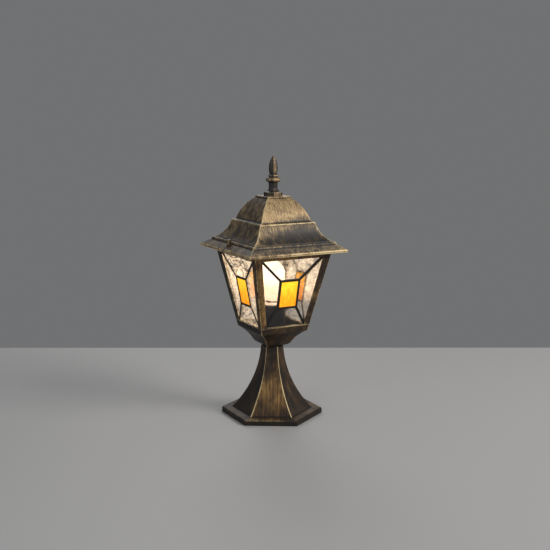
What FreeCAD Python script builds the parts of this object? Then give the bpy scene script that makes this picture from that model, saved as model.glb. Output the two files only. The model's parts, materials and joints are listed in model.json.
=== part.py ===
import FreeCAD, Part
import math
import os
import Sketcher

Vector = FreeCAD.Vector
Rotation = FreeCAD.Rotation
Placement = FreeCAD.Placement

os.makedirs("parts", exist_ok=True)
doc = FreeCAD.newDocument("garden_post_lamp")
sheet = doc.addObject("Spreadsheet::Sheet", "Dims")

# Sizes in millimetres; a bow is how far an edge bulges, as a part of its length.
SIZES = {
    "total_height": 420.0,
    # Hexagonal pedestal, sizes across its flats
    "plinth_flats": 142.6,
    "plinth_height": 9.0,
    "plinth_edge": 1.2,
    "plinth_wall": 4.0,
    "plinth_ledge": 2.6,
    "foot_flats": 113.6,
    "neck_flats": 31.6,
    "pedestal_height": 114.0,
    "pedestal_wall": 3.5,
    "pedestal_web": 4.0,
    "flare_bow": 0.081,
    # Ground fixing inside the plinth
    "bar_width": 30.0,
    "bar_thick": 2.0,
    "bar_tab_gap": 0.4,
    "bar_gap": 0.3,
    "anchor_spread": 92.0,
    "anchor_dia": 6.5,
    "set_screw_dia": 3.0,
    "set_screw_rise": 4.0,
    "set_screw_socket": 1.5,
    "cable_hole": 14.0,
    "grommet_flange": 2.5,
    "grommet_height": 2.0,
    "grommet_bore": 8.0,
    "grommet_gap": 0.1,
    # Terminal block and leads
    "block_offset": 22.0,
    "block_length": 20.0,
    "block_height": 13.0,
    "pole_pitch": 8.0,
    "pole_rise": 7.0,
    "terminal_dia": 3.6,
    "terminal_well": 4.0,
    "peg_dia": 4.0,
    "lead_dia": 2.2,
    "lead_gap": 0.7,
    "well_gap": 0.3,
    "lead_pitch": 3.4,
    "lead_bend": 9.0,
    "earth_reach": 10.6,
    "earth_bend": 6.0,
    # Threaded tube through the neck
    "tube_dia": 10.0,
    "tube_bore": 7.8,
    "tube_tail": 4.0,
    "nut_flats": 14.0,
    "nut_height": 5.5,
    "washer_dia": 19.0,
    "washer_thick": 1.5,
    "tag_thick": 0.6,
    "gasket_dia": 27.0,
    "gasket_thick": 1.5,
    "hole_gap": 0.3,
    "thread_gap": 0.03,
    # Lantern cage, a square cup under four leaning sides
    "cup_foot": 29.0,
    "cup_floor": 3.5,
    "bowl_width": 48.6,
    "bowl_rise": 9.1,
    "bowl_bow": 0.122,
    "cup_height": 27.5,
    "cup_wall": 2.8,
    "cove_bow": 0.063,
    "cage_bottom": 83.6,
    "cage_top": 138.4,
    "cage_height": 133.0,
    "cage_wall": 2.0,
    "ring_thick": 3.0,
    "ring_gap": 1.0,
    "lug_dia": 7.0,
    "lug_margin": 0.1,
    "lug_drop": 3.0,
    "ledge_rise": 7.2,
    "lip_thick": 1.5,
    "lip_height": 3.0,
    "lip_gap": 0.3,
    # Leaded panes
    "pane_head": 7.6,
    "pane_gap": 0.1,
    "pane_seat": 0.2,
    "corner_gap": 0.3,
    "post_flare": 2.7,
    "sill_lap": 3.3,
    "head_lap": 4.1,
    "side_lap": 3.6,
    "tile_width": 33.0,
    "tile_rise": 35.2,
    "tile_height": 45.4,
    "came_depth": 3.6,
    "came_face": 3.6,
    "came_web": 1.2,
    "glass_thick": 2.4,
    "glass_gap": 0.1,
    # Lampholder and bulb
    "cap_foot": 18.0,
    "holder_dia": 41.0,
    "holder_wall": 2.3,
    "boss_wall": 3.5,
    "boss_height": 9.5,
    "dome_height": 12.0,
    "seat_height": 16.0,
    "seat_width": 1.7,
    "cap_height": 23.5,
    "insert_height": 11.5,
    "insert_gap": 0.2,
    "sleeve_height": 33.0,
    "sleeve_edge": 1.2,
    "shell_bore": 26.7,
    "shell_thick": 0.5,
    "shell_gap": 0.65,
    "shell_height": 23.5,
    "contact_thick": 0.6,
    "contact_width": 5.0,
    "contact_length": 11.0,
    "contact_rise": 1.5,
    "contact_gap": 0.2,
    "bulb_height": 98.0,
    "bulb_dia": 38.0,
    "bulb_collar": 36.0,
    "bulb_collar_height": 5.4,
    "bulb_groove": 0.8,
    "bulb_rest": 0.8,
    "bulb_button": 9.6,
    "bulb_cap_gap": 0.25,
    # Square roof: how far each step of its outline runs in and rises
    "rim_drop": 4.0,
    "rim_rise": 0.6,
    "rim_round": 0.8,
    "rim_wall": 4.6,
    "flange_rise": 7.9,
    "bead_lap": 5.1,
    "bead_run": 5.0,
    "bead_rise": 4.0,
    "bead_bow": 0.3,
    "skirt_run": 19.3,
    "skirt_rise": 29.1,
    "skirt_bow": 0.1,
    "ledge_run": 5.2,
    "ledge_step": 2.0,
    "dome_run": 23.6,
    "dome_rise": 35.6,
    "dome_bow": 0.078,
    "platform_lip": 0.6,
    "platform_thick": 2.0,
    "roof_wall": 2.8,
    "roof_crown": 4.0,
    "throat_rise": 7.0,
    # Roof screws at the middle of two sides
    "screw_dia": 4.0,
    "screw_gap": 0.05,
    "screw_hole_gap": 0.25,
    "pad_dia": 8.6,
    "pad_lap": 0.3,
    "pad_rise": 8.6,
    "head_dia": 6.4,
    "head_height": 6.6,
    "head_side": 4.2,
    "head_washer_dia": 7.6,
    "head_washer_thick": 0.8,
    # Octagonal finial, sizes across its flats
    "finial_base": 27.8,
    "finial_base_height": 5.6,
    "finial_edge": 0.9,
    "finial_foot": 19.8,
    "finial_neck": 13.2,
    "finial_neck_rise": 15.5,
    "finial_throat": 15.0,
    "finial_knop": 22.4,
    "finial_knop_rise": 25.3,
    "finial_knop_half": 3.6,
    "finial_gorge": 13.4,
    "finial_collar": 15.6,
    "finial_collar_rise": 31.9,
    "finial_collar_half": 1.2,
    "finial_waist": 10.8,
    "finial_waist_rise": 35.0,
    "finial_spear": 12.8,
    "finial_spear_rise": 43.5,
    "finial_tip": 3.2,
    "stud_dia": 6.0,
    "stud_depth": 12.0,
    "stud_tail": 9.0,
    "stud_nut_flats": 10.0,
    "stud_nut_height": 5.0,
    "stud_washer_dia": 12.5,
    "stud_washer_thick": 1.2,
}

for row, (alias, number) in enumerate(SIZES.items(), start=1):
    sheet.set(f"A{row}", alias)
    sheet.set(f"B{row}", str(number))
    sheet.setAlias(f"B{row}", alias)
doc.recompute()


class Size:
    """A length: its number now, and the sheet expression that keeps it bound."""

    def __init__(self, number, text):
        self.number = number
        self.text = text

    def __add__(self, other):
        other = as_size(other)
        return Size(self.number + other.number, f"({self.text} + {other.text})")

    def __sub__(self, other):
        other = as_size(other)
        return Size(self.number - other.number, f"({self.text} - {other.text})")

    def __mul__(self, other):
        other = as_size(other)
        return Size(self.number * other.number, f"({self.text} * {other.text})")

    def __truediv__(self, other):
        other = as_size(other)
        return Size(self.number / other.number, f"({self.text} / {other.text})")

    def __neg__(self):
        return Size(-self.number, f"(0 - {self.text})")


def as_size(value):
    """Let a plain number stand among sizes."""
    if isinstance(value, Size):
        return value
    return Size(float(value), f"({float(value)})")


def root(size):
    """Square root of a size."""
    return Size(math.sqrt(size.number), f"sqrt({size.text})")


def dim(alias):
    """Size held in the sheet under this name."""
    return Size(float(sheet.get(alias)), f"Dims.{alias}")


def bind(thing, field, size):
    """Set a field from a size and keep it bound to the sheet."""
    size = as_size(size)
    setattr(thing, field, size.number)
    thing.setExpression(field, size.text)


def place(thing, x=0, y=0, z=0, turn=0, roll=0):
    """Stand a thing at a point, rolled about X and then turned about Z, both in degrees."""
    spot = [as_size(x), as_size(y), as_size(z)]
    roll = as_size(roll)
    where = "; ".join(size.text for size in spot)
    thing.setExpression(
        "Placement",
        f"create(<<placement>>; create(<<vector>>; {where}); create(<<rotation>>; {turn}; 0; {roll.text}))",
    )
    thing.Placement = Placement(
        Vector(*[size.number for size in spot]), Rotation(turn, 0, roll.number)
    )
    return thing


def pin(sketch, kind, edge, end, size):
    """Hold one coordinate of an edge's end at a size measured from the sketch's origin."""
    if abs(size.number) < 1e-9:
        axis = -2 if kind == "DistanceX" else -1
        sketch.addConstraint(Sketcher.Constraint("PointOnObject", edge, end, axis))
        return
    if size.number > 0:
        rule = Sketcher.Constraint(kind, -1, 1, edge, end, size.number)
    else:
        size = -size
        rule = Sketcher.Constraint(kind, edge, end, -1, 1, size.number)
    index = sketch.addConstraint(rule)
    sketch.setExpression(f"Constraints[{index}]", size.text)


def add_edge(sketch, start, stop):
    """Add the straight or bowed edge between two corners; return which of its ends come first and last."""
    here = Vector(start[0].number, start[1].number, 0)
    there = Vector(stop[0].number, stop[1].number, 0)
    bow = start[2]
    if bow is None:
        sketch.addGeometry(Part.LineSegment(here, there))
        return 1, 2
    hollow = bow.number < 0
    share = -bow if hollow else bow
    across = stop[0] - start[0]
    up = stop[1] - start[1]
    chord = root(across * across + up * up)
    radius = chord * (share * share * 4 + 1) / (share * 8)
    depth = radius.number - share.number * chord.number
    left = Vector(here.y - there.y, there.x - here.x, 0).normalize()
    centre = (here + there) / 2 + left * (-depth if hollow else depth)
    first, last = (there, here) if hollow else (here, there)
    begin = math.atan2(first.y - centre.y, first.x - centre.x)
    finish = math.atan2(last.y - centre.y, last.x - centre.x)
    if finish < begin:
        finish += 2 * math.pi
    circle = Part.Circle(centre, Vector(0, 0, 1), radius.number)
    edge = sketch.addGeometry(Part.ArcOfCircle(circle, begin, finish))
    index = sketch.addConstraint(Sketcher.Constraint("Radius", edge, radius.number))
    sketch.setExpression(f"Constraints[{index}]", radius.text)
    return (2, 1) if hollow else (1, 2)


def sized(corners):
    """Give every corner three entries: across, up, and the bow of the edge to the next corner."""
    full = []
    for corner in corners:
        bow = as_size(corner[2]) if len(corner) > 2 else None
        full.append((as_size(corner[0]), as_size(corner[1]), bow))
    return full


def draw(sketch, corners):
    """Draw a closed outline through corners, every corner held by the sheet."""
    corners = sized(corners)
    first = sketch.GeometryCount
    count = len(corners)
    ends = []
    for index in range(count):
        ends.append(add_edge(sketch, corners[index], corners[(index + 1) % count]))
    for index in range(count):
        after = (index + 1) % count
        rule = Sketcher.Constraint(
            "Coincident", first + index, ends[index][1], first + after, ends[after][0]
        )
        sketch.addConstraint(rule)
    for index in range(count):
        pin(sketch, "DistanceX", first + index, ends[index][0], corners[index][0])
        pin(sketch, "DistanceY", first + index, ends[index][0], corners[index][1])


def mirrored(side):
    """Corners of an outline that is the same on both sides, from its right side, bottom to top."""
    side = sized(side)
    left = []
    for index in reversed(range(len(side))):
        bow = side[index - 1][2] if index > 0 else None
        left.append((-side[index][0], side[index][1], bow))
    return [corner if corner[2] else corner[:2] for corner in side + left]


def flat_sketch(name, corners):
    """Sketch lying in the XY plane."""
    sketch = doc.addObject("Sketcher::SketchObject", name)
    draw(sketch, corners)
    return sketch


def upright_sketch(name, corners):
    """Sketch standing in the XZ plane, seen from the front."""
    sketch = doc.addObject("Sketcher::SketchObject", name)
    sketch.Placement = Placement(Vector(), Rotation(Vector(1, 0, 0), 90))
    draw(sketch, corners)
    return sketch


def pushed(name, outline, depth, both_ways=False):
    """Prism pushed out of an outline along its normal."""
    prism = doc.addObject("Part::Extrusion", name)
    prism.Base = outline
    prism.DirMode = "Normal"
    prism.Solid = True
    prism.Symmetric = both_ways
    bind(prism, "LengthFwd", depth)
    return prism


def faceted(name, side, directions, reach):
    """Solid with regular polygons as level cuts: one outline pushed in each direction, their common part."""
    outline = upright_sketch(f"{name}_outline", mirrored(side))
    slabs = []
    for index in range(directions):
        slab = pushed(f"{name}_slab_{index}", outline, reach, both_ways=True)
        slab.Placement = Placement(Vector(), Rotation(Vector(0, 0, 1), 180.0 / directions * index))
        slabs.append(slab)
    solid = doc.addObject("Part::MultiCommon", name)
    solid.Shapes = slabs
    return solid


def cut(name, base, tools):
    """Base with the tools taken out of it."""
    tool = tools[0] if len(tools) == 1 else together(f"{name}_tools", tools)
    solid = doc.addObject("Part::Cut", name)
    solid.Base = base
    solid.Tool = tool
    return solid


def together(name, pieces):
    """Pieces joined into one solid."""
    solid = doc.addObject("Part::MultiFuse", name)
    solid.Shapes = pieces
    return solid


def rod(name, dia, length, x=0, y=0, z=0):
    """Upright cylinder standing on a point."""
    solid = doc.addObject("Part::Cylinder", name)
    bind(solid, "Radius", as_size(dia) / 2)
    bind(solid, "Height", length)
    return place(solid, x, y, z)


def cross_rod(name, dia, length, x, y, z):
    """Cylinder lying along +X from a point."""
    solid = doc.addObject("Part::Cylinder", name)
    bind(solid, "Radius", as_size(dia) / 2)
    bind(solid, "Height", length)
    return place(solid, x, y, z, turn=90, roll=90)


def block(name, length, width, height, x, y, z):
    """Box centred on a point in plan and standing on it."""
    solid = doc.addObject("Part::Box", name)
    bind(solid, "Length", length)
    bind(solid, "Width", width)
    bind(solid, "Height", height)
    return place(solid, as_size(x) - as_size(length) / 2, as_size(y) - as_size(width) / 2, z)


def turned(name, corners, z=0):
    """Body turned about the upright axis from a closed outline of radii and heights."""
    body = doc.addObject("PartDesign::Body", name)
    sketch = body.newObject("Sketcher::SketchObject", f"{name}_outline")
    plane = [item for item in body.Origin.OriginFeatures if item.Role == "XZ_Plane"][0]
    sketch.AttachmentSupport = [(plane, "")]
    sketch.MapMode = "FlatFace"
    draw(sketch, corners)
    turn = body.newObject("PartDesign::Revolution", f"{name}_turn")
    turn.Profile = sketch
    turn.ReferenceAxis = (sketch, ["V_Axis"])
    turn.Angle = 360
    return place(body, z=z)


def ring(name, outer, inner, thick, z):
    """Flat ring, such as a washer."""
    inside = as_size(inner) / 2
    outside = as_size(outer) / 2
    return turned(name, [(inside, 0), (outside, 0), (outside, thick), (inside, thick)], z)


def hex_nut(name, flats, bore, height, z):
    """Six-sided nut with a plain bore."""
    prism = doc.addObject("Part::Prism", f"{name}_prism")
    prism.Polygon = 6
    bind(prism, "Circumradius", as_size(flats) / math.sqrt(3))
    bind(prism, "Height", height)
    place(prism, z=z)
    hole = rod(f"{name}_bore", bore, as_size(height) + 2, z=as_size(z) - 1)
    return cut(name, prism, [hole])


def copied(name, source, x=0, y=0, z=0, turn=0, roll=0):
    """The source again, set down elsewhere."""
    copy = doc.addObject("Part::Compound", name)
    copy.Links = [source]
    return place(copy, x, y, z, turn, roll)


def grouped(name, pieces):
    """Separate pieces kept under one name."""
    group = doc.addObject("Part::Compound", name)
    group.Links = pieces
    return group


# Levels from the ground up
neck_z = dim("pedestal_height")
web_z = neck_z - dim("pedestal_web")
cup_z = neck_z + dim("gasket_thick")
floor_z = cup_z + dim("cup_floor")
rail_z = cup_z + dim("cup_height")
ledge_z = rail_z + dim("ledge_rise")
pane_z = ledge_z + dim("pane_seat")
seat_z = rail_z + dim("cage_height")
holder_z = floor_z + dim("washer_thick") + dim("nut_height")
insert_z = holder_z + dim("seat_height")
insert_top = insert_z + dim("insert_height")
rim_z = seat_z + dim("rim_rise")
bead_z = rim_z + dim("flange_rise")
skirt_z = bead_z + dim("bead_rise")
shoulder_z = skirt_z + dim("skirt_rise")
dome_z = shoulder_z + dim("ledge_step")
platform_z = dome_z + dim("dome_rise")
crown_z = platform_z + dim("platform_thick")
crown_under = crown_z - dim("roof_crown")
pad_z = seat_z + dim("pad_rise")

# Shared clear holes and threads
tube_hole = dim("tube_dia") + dim("hole_gap") * 2
tube_thread = dim("tube_dia") + dim("thread_gap") * 2
set_thread = dim("set_screw_dia") + dim("thread_gap") * 2
stud_thread = dim("stud_dia") + dim("thread_gap") * 2

# Pedestal: hollow casting, plinth below and a flared hexagonal trumpet above
plinth = dim("plinth_flats") / 2
plinth_inside = plinth - dim("plinth_wall")
plinth_under = dim("plinth_height") - dim("plinth_ledge")
pedestal_outside = faceted(
    "pedestal_outside",
    [
        (plinth, 0),
        (plinth, dim("plinth_height") - dim("plinth_edge")),
        (plinth - dim("plinth_edge"), dim("plinth_height")),
        (dim("foot_flats") / 2, dim("plinth_height"), -dim("flare_bow")),
        (dim("neck_flats") / 2, neck_z),
    ],
    3,
    dim("plinth_flats") * 1.3,
)
pedestal_hollow = faceted(
    "pedestal_hollow",
    [
        (plinth_inside, -1),
        (plinth_inside, plinth_under),
        (dim("foot_flats") / 2 - dim("pedestal_wall"), plinth_under, -dim("flare_bow")),
        (dim("neck_flats") / 2 - dim("pedestal_wall"), web_z),
    ],
    3,
    dim("plinth_flats") * 1.3,
)
bar_end = plinth_inside - dim("bar_gap")
set_start = bar_end - dim("bar_thick") - dim("bar_tab_gap")
set_length = plinth - dim("bar_tab_gap") - set_start
pedestal_holes = [
    pedestal_hollow,
    rod("neck_hole", tube_hole, dim("pedestal_web") + 2, z=web_z - 1),
    cross_rod("set_hole_right", set_thread, dim("plinth_wall") + 2, plinth_inside - 1, 0, dim("set_screw_rise")),
    cross_rod("set_hole_left", set_thread, dim("plinth_wall") + 2, -plinth - 1, 0, dim("set_screw_rise")),
]
pedestal = cut("pedestal", pedestal_outside, pedestal_holes)

# Mounting bar: a strap with turned-up ends, anchored to the ground inside the plinth
bar_top = plinth_under - dim("bar_gap")
bar_inner = bar_end - dim("bar_thick")
bar_outline = upright_sketch(
    "bar_outline",
    mirrored([(bar_end, 0), (bar_end, bar_top), (bar_inner, bar_top), (bar_inner, dim("bar_thick"))]),
)
bar_strap = pushed("bar_strap", bar_outline, dim("bar_width"), both_ways=True)
anchor_x = dim("anchor_spread") / 2
block_x = dim("block_offset") + dim("block_length") / 2
through_bar = dim("bar_thick") + 2
mounting_bar = cut(
    "mounting_bar",
    bar_strap,
    [
        rod("anchor_hole_right", dim("anchor_dia"), through_bar, anchor_x, 0, -1),
        rod("anchor_hole_left", dim("anchor_dia"), through_bar, -anchor_x, 0, -1),
        rod("cable_opening", dim("cable_hole"), through_bar, 0, 0, -1),
        rod("peg_hole", dim("peg_dia") + dim("thread_gap") * 2, through_bar, block_x, 0, -1),
        cross_rod("tab_hole_right", set_thread, through_bar, bar_inner - 1, 0, dim("set_screw_rise")),
        cross_rod("tab_hole_left", set_thread, through_bar, -bar_end - 1, 0, dim("set_screw_rise")),
    ],
)

# Set screws: through the plinth into the bar's ends, each with a hexagon socket
set_right = cross_rod("set_body_right", dim("set_screw_dia"), set_length, set_start, 0, dim("set_screw_rise"))
set_left = cross_rod(
    "set_body_left", dim("set_screw_dia"), set_length, -set_start - set_length, 0, dim("set_screw_rise")
)
sockets = []
for name, socket_x in (("right", set_start + set_length - 2), ("left", -set_start - set_length - 1)):
    socket = doc.addObject("Part::Prism", f"set_socket_{name}")
    socket.Polygon = 6
    bind(socket, "Circumradius", dim("set_screw_socket") / math.sqrt(3))
    socket.Height = 3
    sockets.append(place(socket, socket_x, 0, dim("set_screw_rise"), turn=90, roll=90))
set_screws = cut("set_screws", grouped("set_bodies", [set_right, set_left]), sockets)

# Cable grommet: rubber bush in the bar's middle hole
grommet_inside = dim("grommet_bore") / 2
grommet_outside = dim("cable_hole") / 2 - dim("grommet_gap")
grommet_rim = dim("cable_hole") / 2 + dim("grommet_flange")
grommet_top = dim("bar_thick") + dim("grommet_height")
cable_grommet = turned(
    "cable_grommet",
    [
        (grommet_inside, dim("grommet_gap")),
        (grommet_outside, dim("grommet_gap")),
        (grommet_outside, dim("bar_thick")),
        (grommet_rim, dim("bar_thick")),
        (grommet_rim, grommet_top, 0.2),
        (grommet_inside, grommet_top),
    ],
)

# Terminal block: three poles, pegged to the bar, with a clamp screw at each end of a pole
pole_z = dim("bar_thick") + dim("pole_rise")
block_top = dim("bar_thick") + dim("block_height")
block_body = together(
    "block_body",
    [
        block("block_case", dim("block_length"), dim("pole_pitch") * 3, dim("block_height"), block_x, 0, dim("bar_thick")),
        rod("block_peg", dim("peg_dia"), dim("bar_thick"), block_x, 0, dim("grommet_gap")),
    ],
)
entry_dia = dim("lead_dia") + dim("lead_gap") * 2
well_dia = dim("terminal_dia") + dim("well_gap") * 2
block_cuts = []
terminal_bodies = []
for pole in (-1, 0, 1):
    pole_y = dim("pole_pitch") * pole
    block_cuts.append(
        cross_rod(f"pole_{pole + 2}", entry_dia, dim("block_length") + 2, dim("block_offset") - 1, pole_y, pole_z)
    )
    for end in (-1, 1):
        clamp_x = block_x + dim("block_length") * 0.25 * end
        tag = f"{pole + 2}_{end + 2}"
        well_z = block_top - dim("terminal_well")
        block_cuts.append(rod(f"well_{tag}", well_dia, dim("terminal_well") + 1, clamp_x, pole_y, well_z))
        terminal_bodies.append(
            rod(f"terminal_{tag}", dim("terminal_dia"), dim("terminal_well") * 0.7, clamp_x, pole_y, well_z)
        )
terminal_block = cut("terminal_block", block_body, block_cuts)
terminal_screws = grouped("terminal_screws", terminal_bodies)

# Threaded tube with its nuts and washers, clamping cage, gasket and pedestal together
tag_z = web_z - dim("washer_thick") - dim("tag_thick")
lower_nut_z = tag_z - dim("nut_height")
tube_z = lower_nut_z - dim("tube_tail")
tube_top = holder_z + dim("boss_height") - 0.5
central_tube = ring("central_tube", dim("tube_dia"), dim("tube_bore"), tube_top - tube_z, tube_z)
lower_washer = ring("lower_washer", dim("washer_dia"), tube_hole, dim("washer_thick"), web_z - dim("washer_thick"))
lower_nut = hex_nut("lower_nut", dim("nut_flats"), tube_thread, dim("nut_height"), lower_nut_z)
neck_gasket = ring("neck_gasket", dim("gasket_dia"), tube_hole, dim("gasket_thick"), neck_z)
upper_washer = ring("upper_washer", dim("washer_dia"), tube_hole, dim("washer_thick"), floor_z)
upper_nut = hex_nut(
    "upper_nut", dim("nut_flats"), tube_thread, dim("nut_height"), floor_z + dim("washer_thick")
)

# Earth tag: a thin ring with a tab, clamped under the lower washer
tag_reach = dim("earth_reach") + dim("lead_dia") / 2
earth_tag = cut(
    "earth_tag",
    together(
        "tag_body",
        [
            rod("tag_ring", dim("nut_flats"), dim("tag_thick"), z=tag_z),
            block("tag_tab", tag_reach, dim("lead_dia") * 2, dim("tag_thick"), tag_reach / 2, 0, tag_z),
        ],
    ),
    [rod("tag_hole", tube_hole, dim("tag_thick") + 2, z=tag_z - 1)],
)


def lead(name, run, rise, bend, x, y, turn):
    """Insulated lead: along the floor from the terminal block, round a bend and straight up."""
    path = doc.addObject("Sketcher::SketchObject", f"{name}_path")
    path.Placement = Placement(Vector(), Rotation(Vector(1, 0, 0), 90))
    first = path.addGeometry(Part.LineSegment(Vector(run.number, 0, 0), Vector(bend.number, 0, 0)))
    circle = Part.Circle(Vector(bend.number, bend.number, 0), Vector(0, 0, 1), bend.number)
    arc = path.addGeometry(Part.ArcOfCircle(circle, math.pi, 1.5 * math.pi))
    last = path.addGeometry(Part.LineSegment(Vector(0, bend.number, 0), Vector(0, rise.number, 0)))
    path.addConstraint(Sketcher.Constraint("Coincident", first, 2, arc, 2))
    path.addConstraint(Sketcher.Constraint("Coincident", arc, 1, last, 1))
    pin(path, "DistanceX", first, 1, run)
    pin(path, "DistanceY", first, 1, as_size(0))
    pin(path, "DistanceX", first, 2, bend)
    pin(path, "DistanceY", first, 2, as_size(0))
    pin(path, "DistanceX", last, 1, as_size(0))
    pin(path, "DistanceY", last, 1, bend)
    pin(path, "DistanceX", last, 2, as_size(0))
    pin(path, "DistanceY", last, 2, rise)
    index = path.addConstraint(Sketcher.Constraint("Radius", arc, bend.number))
    path.setExpression(f"Constraints[{index}]", bend.text)
    section = doc.addObject("Part::Circle", f"{name}_section")
    bind(section, "Radius", dim("lead_dia") / 2)
    place(section, z=rise)
    sweep = doc.addObject("Part::Sweep", f"{name}_sweep")
    sweep.Sections = [section]
    sweep.Spine = (path, ["Edge1", "Edge2", "Edge3"])
    sweep.Solid = True
    sweep.Frenet = False
    return copied(name, sweep, x, y, pole_z, turn)


lead_y = dim("lead_pitch") / 2
entry_x = dim("block_offset") + dim("lead_dia")
splay = math.degrees(math.atan2(dim("pole_pitch").number - lead_y.number, entry_x.number))
splay_run = root(entry_x * entry_x + (dim("pole_pitch") - lead_y) * (dim("pole_pitch") - lead_y))
lead_rise = insert_z - pole_z
lead_live = lead("lead_live", splay_run, lead_rise, dim("lead_bend"), 0, lead_y, splay)
lead_neutral = lead("lead_neutral", splay_run, lead_rise, dim("lead_bend"), 0, -lead_y, -splay)
lead_earth = lead(
    "lead_earth", entry_x - dim("earth_reach"), tag_z - pole_z, dim("earth_bend"), dim("earth_reach"), 0, 0
)

# Lantern cage: cup, rails, corner posts and top ring in one casting
cage_half = dim("cage_bottom") / 2
lean = (dim("cage_top") / 2 - cage_half) / dim("cage_height")
slant = root(lean * lean + 1)
tilt = Size(math.degrees(math.atan(lean.number)), f"(atan({lean.text}) / 1 deg)")


def inner_half(z):
    """Half of the width between the cage's inner faces at a height."""
    return cage_half + lean * (z - rail_z) - dim("cage_wall") * slant


def pane_limit(z):
    """Half width at a height that leaves room for the neighbouring panes."""
    return inner_half(z) - (dim("pane_gap") + dim("came_depth")) * slant - dim("corner_gap")


# Roof line, from the cage's top outwards to the rim and inwards to the platform
ring_z = seat_z - dim("ring_thick")
ring_foot = cage_half + lean * (ring_z - rail_z)
bead = ring_foot + dim("bead_lap")
screw_x = bead + dim("pad_dia") / 2 - dim("pad_lap")
ring_half = screw_x + dim("lug_dia") / 2 + dim("lug_margin")
rim_inside = ring_half + dim("ring_gap")
rim_half = rim_inside + dim("rim_wall")
skirt = bead - dim("bead_run")
shoulder = skirt - dim("skirt_run")
ledge = shoulder - dim("ledge_run")
platform = ledge - dim("dome_run") + dim("platform_lip")

bowl_z = cup_z + dim("bowl_rise")
cage_outside = faceted(
    "cage_outside",
    [
        (dim("cup_foot") / 2, cup_z, dim("bowl_bow")),
        (dim("bowl_width") / 2, bowl_z, -dim("cove_bow")),
        (cage_half, rail_z),
        (ring_foot, ring_z),
        (ring_half, ring_z),
        (ring_half, seat_z),
    ],
    2,
    rim_half * 2.6,
)
lip_outside = inner_half(pane_z) - (dim("pane_gap") + dim("came_depth")) / slant - dim("lip_gap")
lip_inside = lip_outside - dim("lip_thick")
cage_hollow = faceted(
    "cage_hollow",
    [
        (dim("cup_foot") / 2 - dim("cup_wall"), floor_z),
        (dim("bowl_width") / 2 - dim("cup_wall"), bowl_z + 1),
        (lip_inside, rail_z),
        (lip_inside, ledge_z),
        (inner_half(ledge_z), ledge_z),
        (inner_half(seat_z + 1), seat_z + 1),
    ],
    2,
    rim_half * 2.6,
)
lug_z = ring_z - dim("lug_drop")
lug_height = dim("lug_drop") + dim("ring_thick") / 2
cage_solid = together(
    "cage_solid",
    [
        cage_outside,
        rod("lug_right", dim("lug_dia"), lug_height, screw_x, 0, lug_z),
        rod("lug_left", dim("lug_dia"), lug_height, -screw_x, 0, lug_z),
    ],
)

# Panes share one leaning frame: across, up the slope from the lower edge, and outwards
pane_rise = (seat_z - dim("pane_head") - pane_z) * slant
pane_bottom = pane_limit(pane_z)
pane_top = pane_limit(pane_z + pane_rise / slant) - dim("post_flare")
pane_spread = (pane_top - pane_bottom) / pane_rise
SIDES = (("front", 0, 0, -1), ("right", 90, 1, 0), ("back", 180, 0, 1), ("left", 270, -1, 0))


def set_in_side(name, source, turn, x, y):
    """Source set against the inner face of one side of the cage."""
    wall = inner_half(pane_z)
    return copied(name, source, wall * x, wall * y, pane_z, turn, tilt + 90)


sill = dim("sill_lap")
head = pane_rise - dim("head_lap")
opening_outline = flat_sketch(
    "opening_outline",
    mirrored(
        [
            (pane_bottom + pane_spread * sill - dim("side_lap"), sill),
            (pane_bottom + pane_spread * head - dim("side_lap"), head),
        ]
    ),
)
opening = pushed("opening", opening_outline, dim("cage_wall") + 2)
place(opening, z=-1)
opening_cuts = []
for side, turn, x, y in SIDES:
    opening_cuts.append(set_in_side(f"{side}_opening", opening, turn, x, y))
tap_dia = dim("screw_dia") + dim("screw_gap") * 2
tap_height = dim("lug_drop") + dim("ring_thick") + 2
cage_cuts = [
    cage_hollow,
    rod("cup_hole", tube_hole, dim("cup_floor") + 2, z=cup_z - 1),
    rod("tap_right", tap_dia, tap_height, screw_x, 0, lug_z - 1),
    rod("tap_left", tap_dia, tap_height, -screw_x, 0, lug_z - 1),
]
cage_shell = cut("cage_shell", cage_solid, cage_cuts + opening_cuts)
lip_ring = cut(
    "lip_ring",
    block("lip_block", lip_outside * 2, lip_outside * 2, dim("lip_height") + 1, 0, 0, ledge_z - 1),
    [block("lip_space", lip_inside * 2, lip_inside * 2, dim("lip_height") + 3, 0, 0, ledge_z - 2)],
)
lantern_cage = together("lantern_cage", [cage_shell, lip_ring])

# One leaded pane: a tile in the middle and four clear pieces held in a lattice of cames
tile_half = dim("tile_width") / 2
tile_low = dim("tile_rise")
tile_high = tile_low + dim("tile_height")
CELLS = {
    "amber": mirrored([(tile_half, tile_low), (tile_half, tile_high)]),
    "clear_bottom": mirrored([(pane_bottom, 0), (tile_half, tile_low)]),
    "clear_top": mirrored([(tile_half, tile_high), (pane_top, pane_rise)]),
    "clear_right": [
        (pane_bottom, 0),
        (pane_top, pane_rise),
        (tile_half, tile_high),
        (tile_half, tile_low),
    ],
    "clear_left": [
        (-pane_bottom, 0),
        (-tile_half, tile_low),
        (-tile_half, tile_high),
        (-pane_top, pane_rise),
    ],
}
plate_outline = flat_sketch("plate_outline", mirrored([(pane_bottom, 0), (pane_top, pane_rise)]))
came_back = -dim("pane_gap") - dim("came_depth")
came_plate = place(pushed("came_plate", plate_outline, dim("came_depth")), z=came_back)
channel_depth = dim("glass_thick") + dim("glass_gap") * 2
pane_middle = came_back + dim("came_depth") / 2


def cell_prism(name, outline, inset, depth, back):
    """Prism of one cell of the lattice, drawn in from the cell's lines by an inset."""
    shrunk = doc.addObject("Part::Offset2D", f"{name}_inset")
    shrunk.Source = outline
    shrunk.Join = "Intersection"
    bind(shrunk, "Value", -inset)
    return place(pushed(name, shrunk, depth), z=back)


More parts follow.
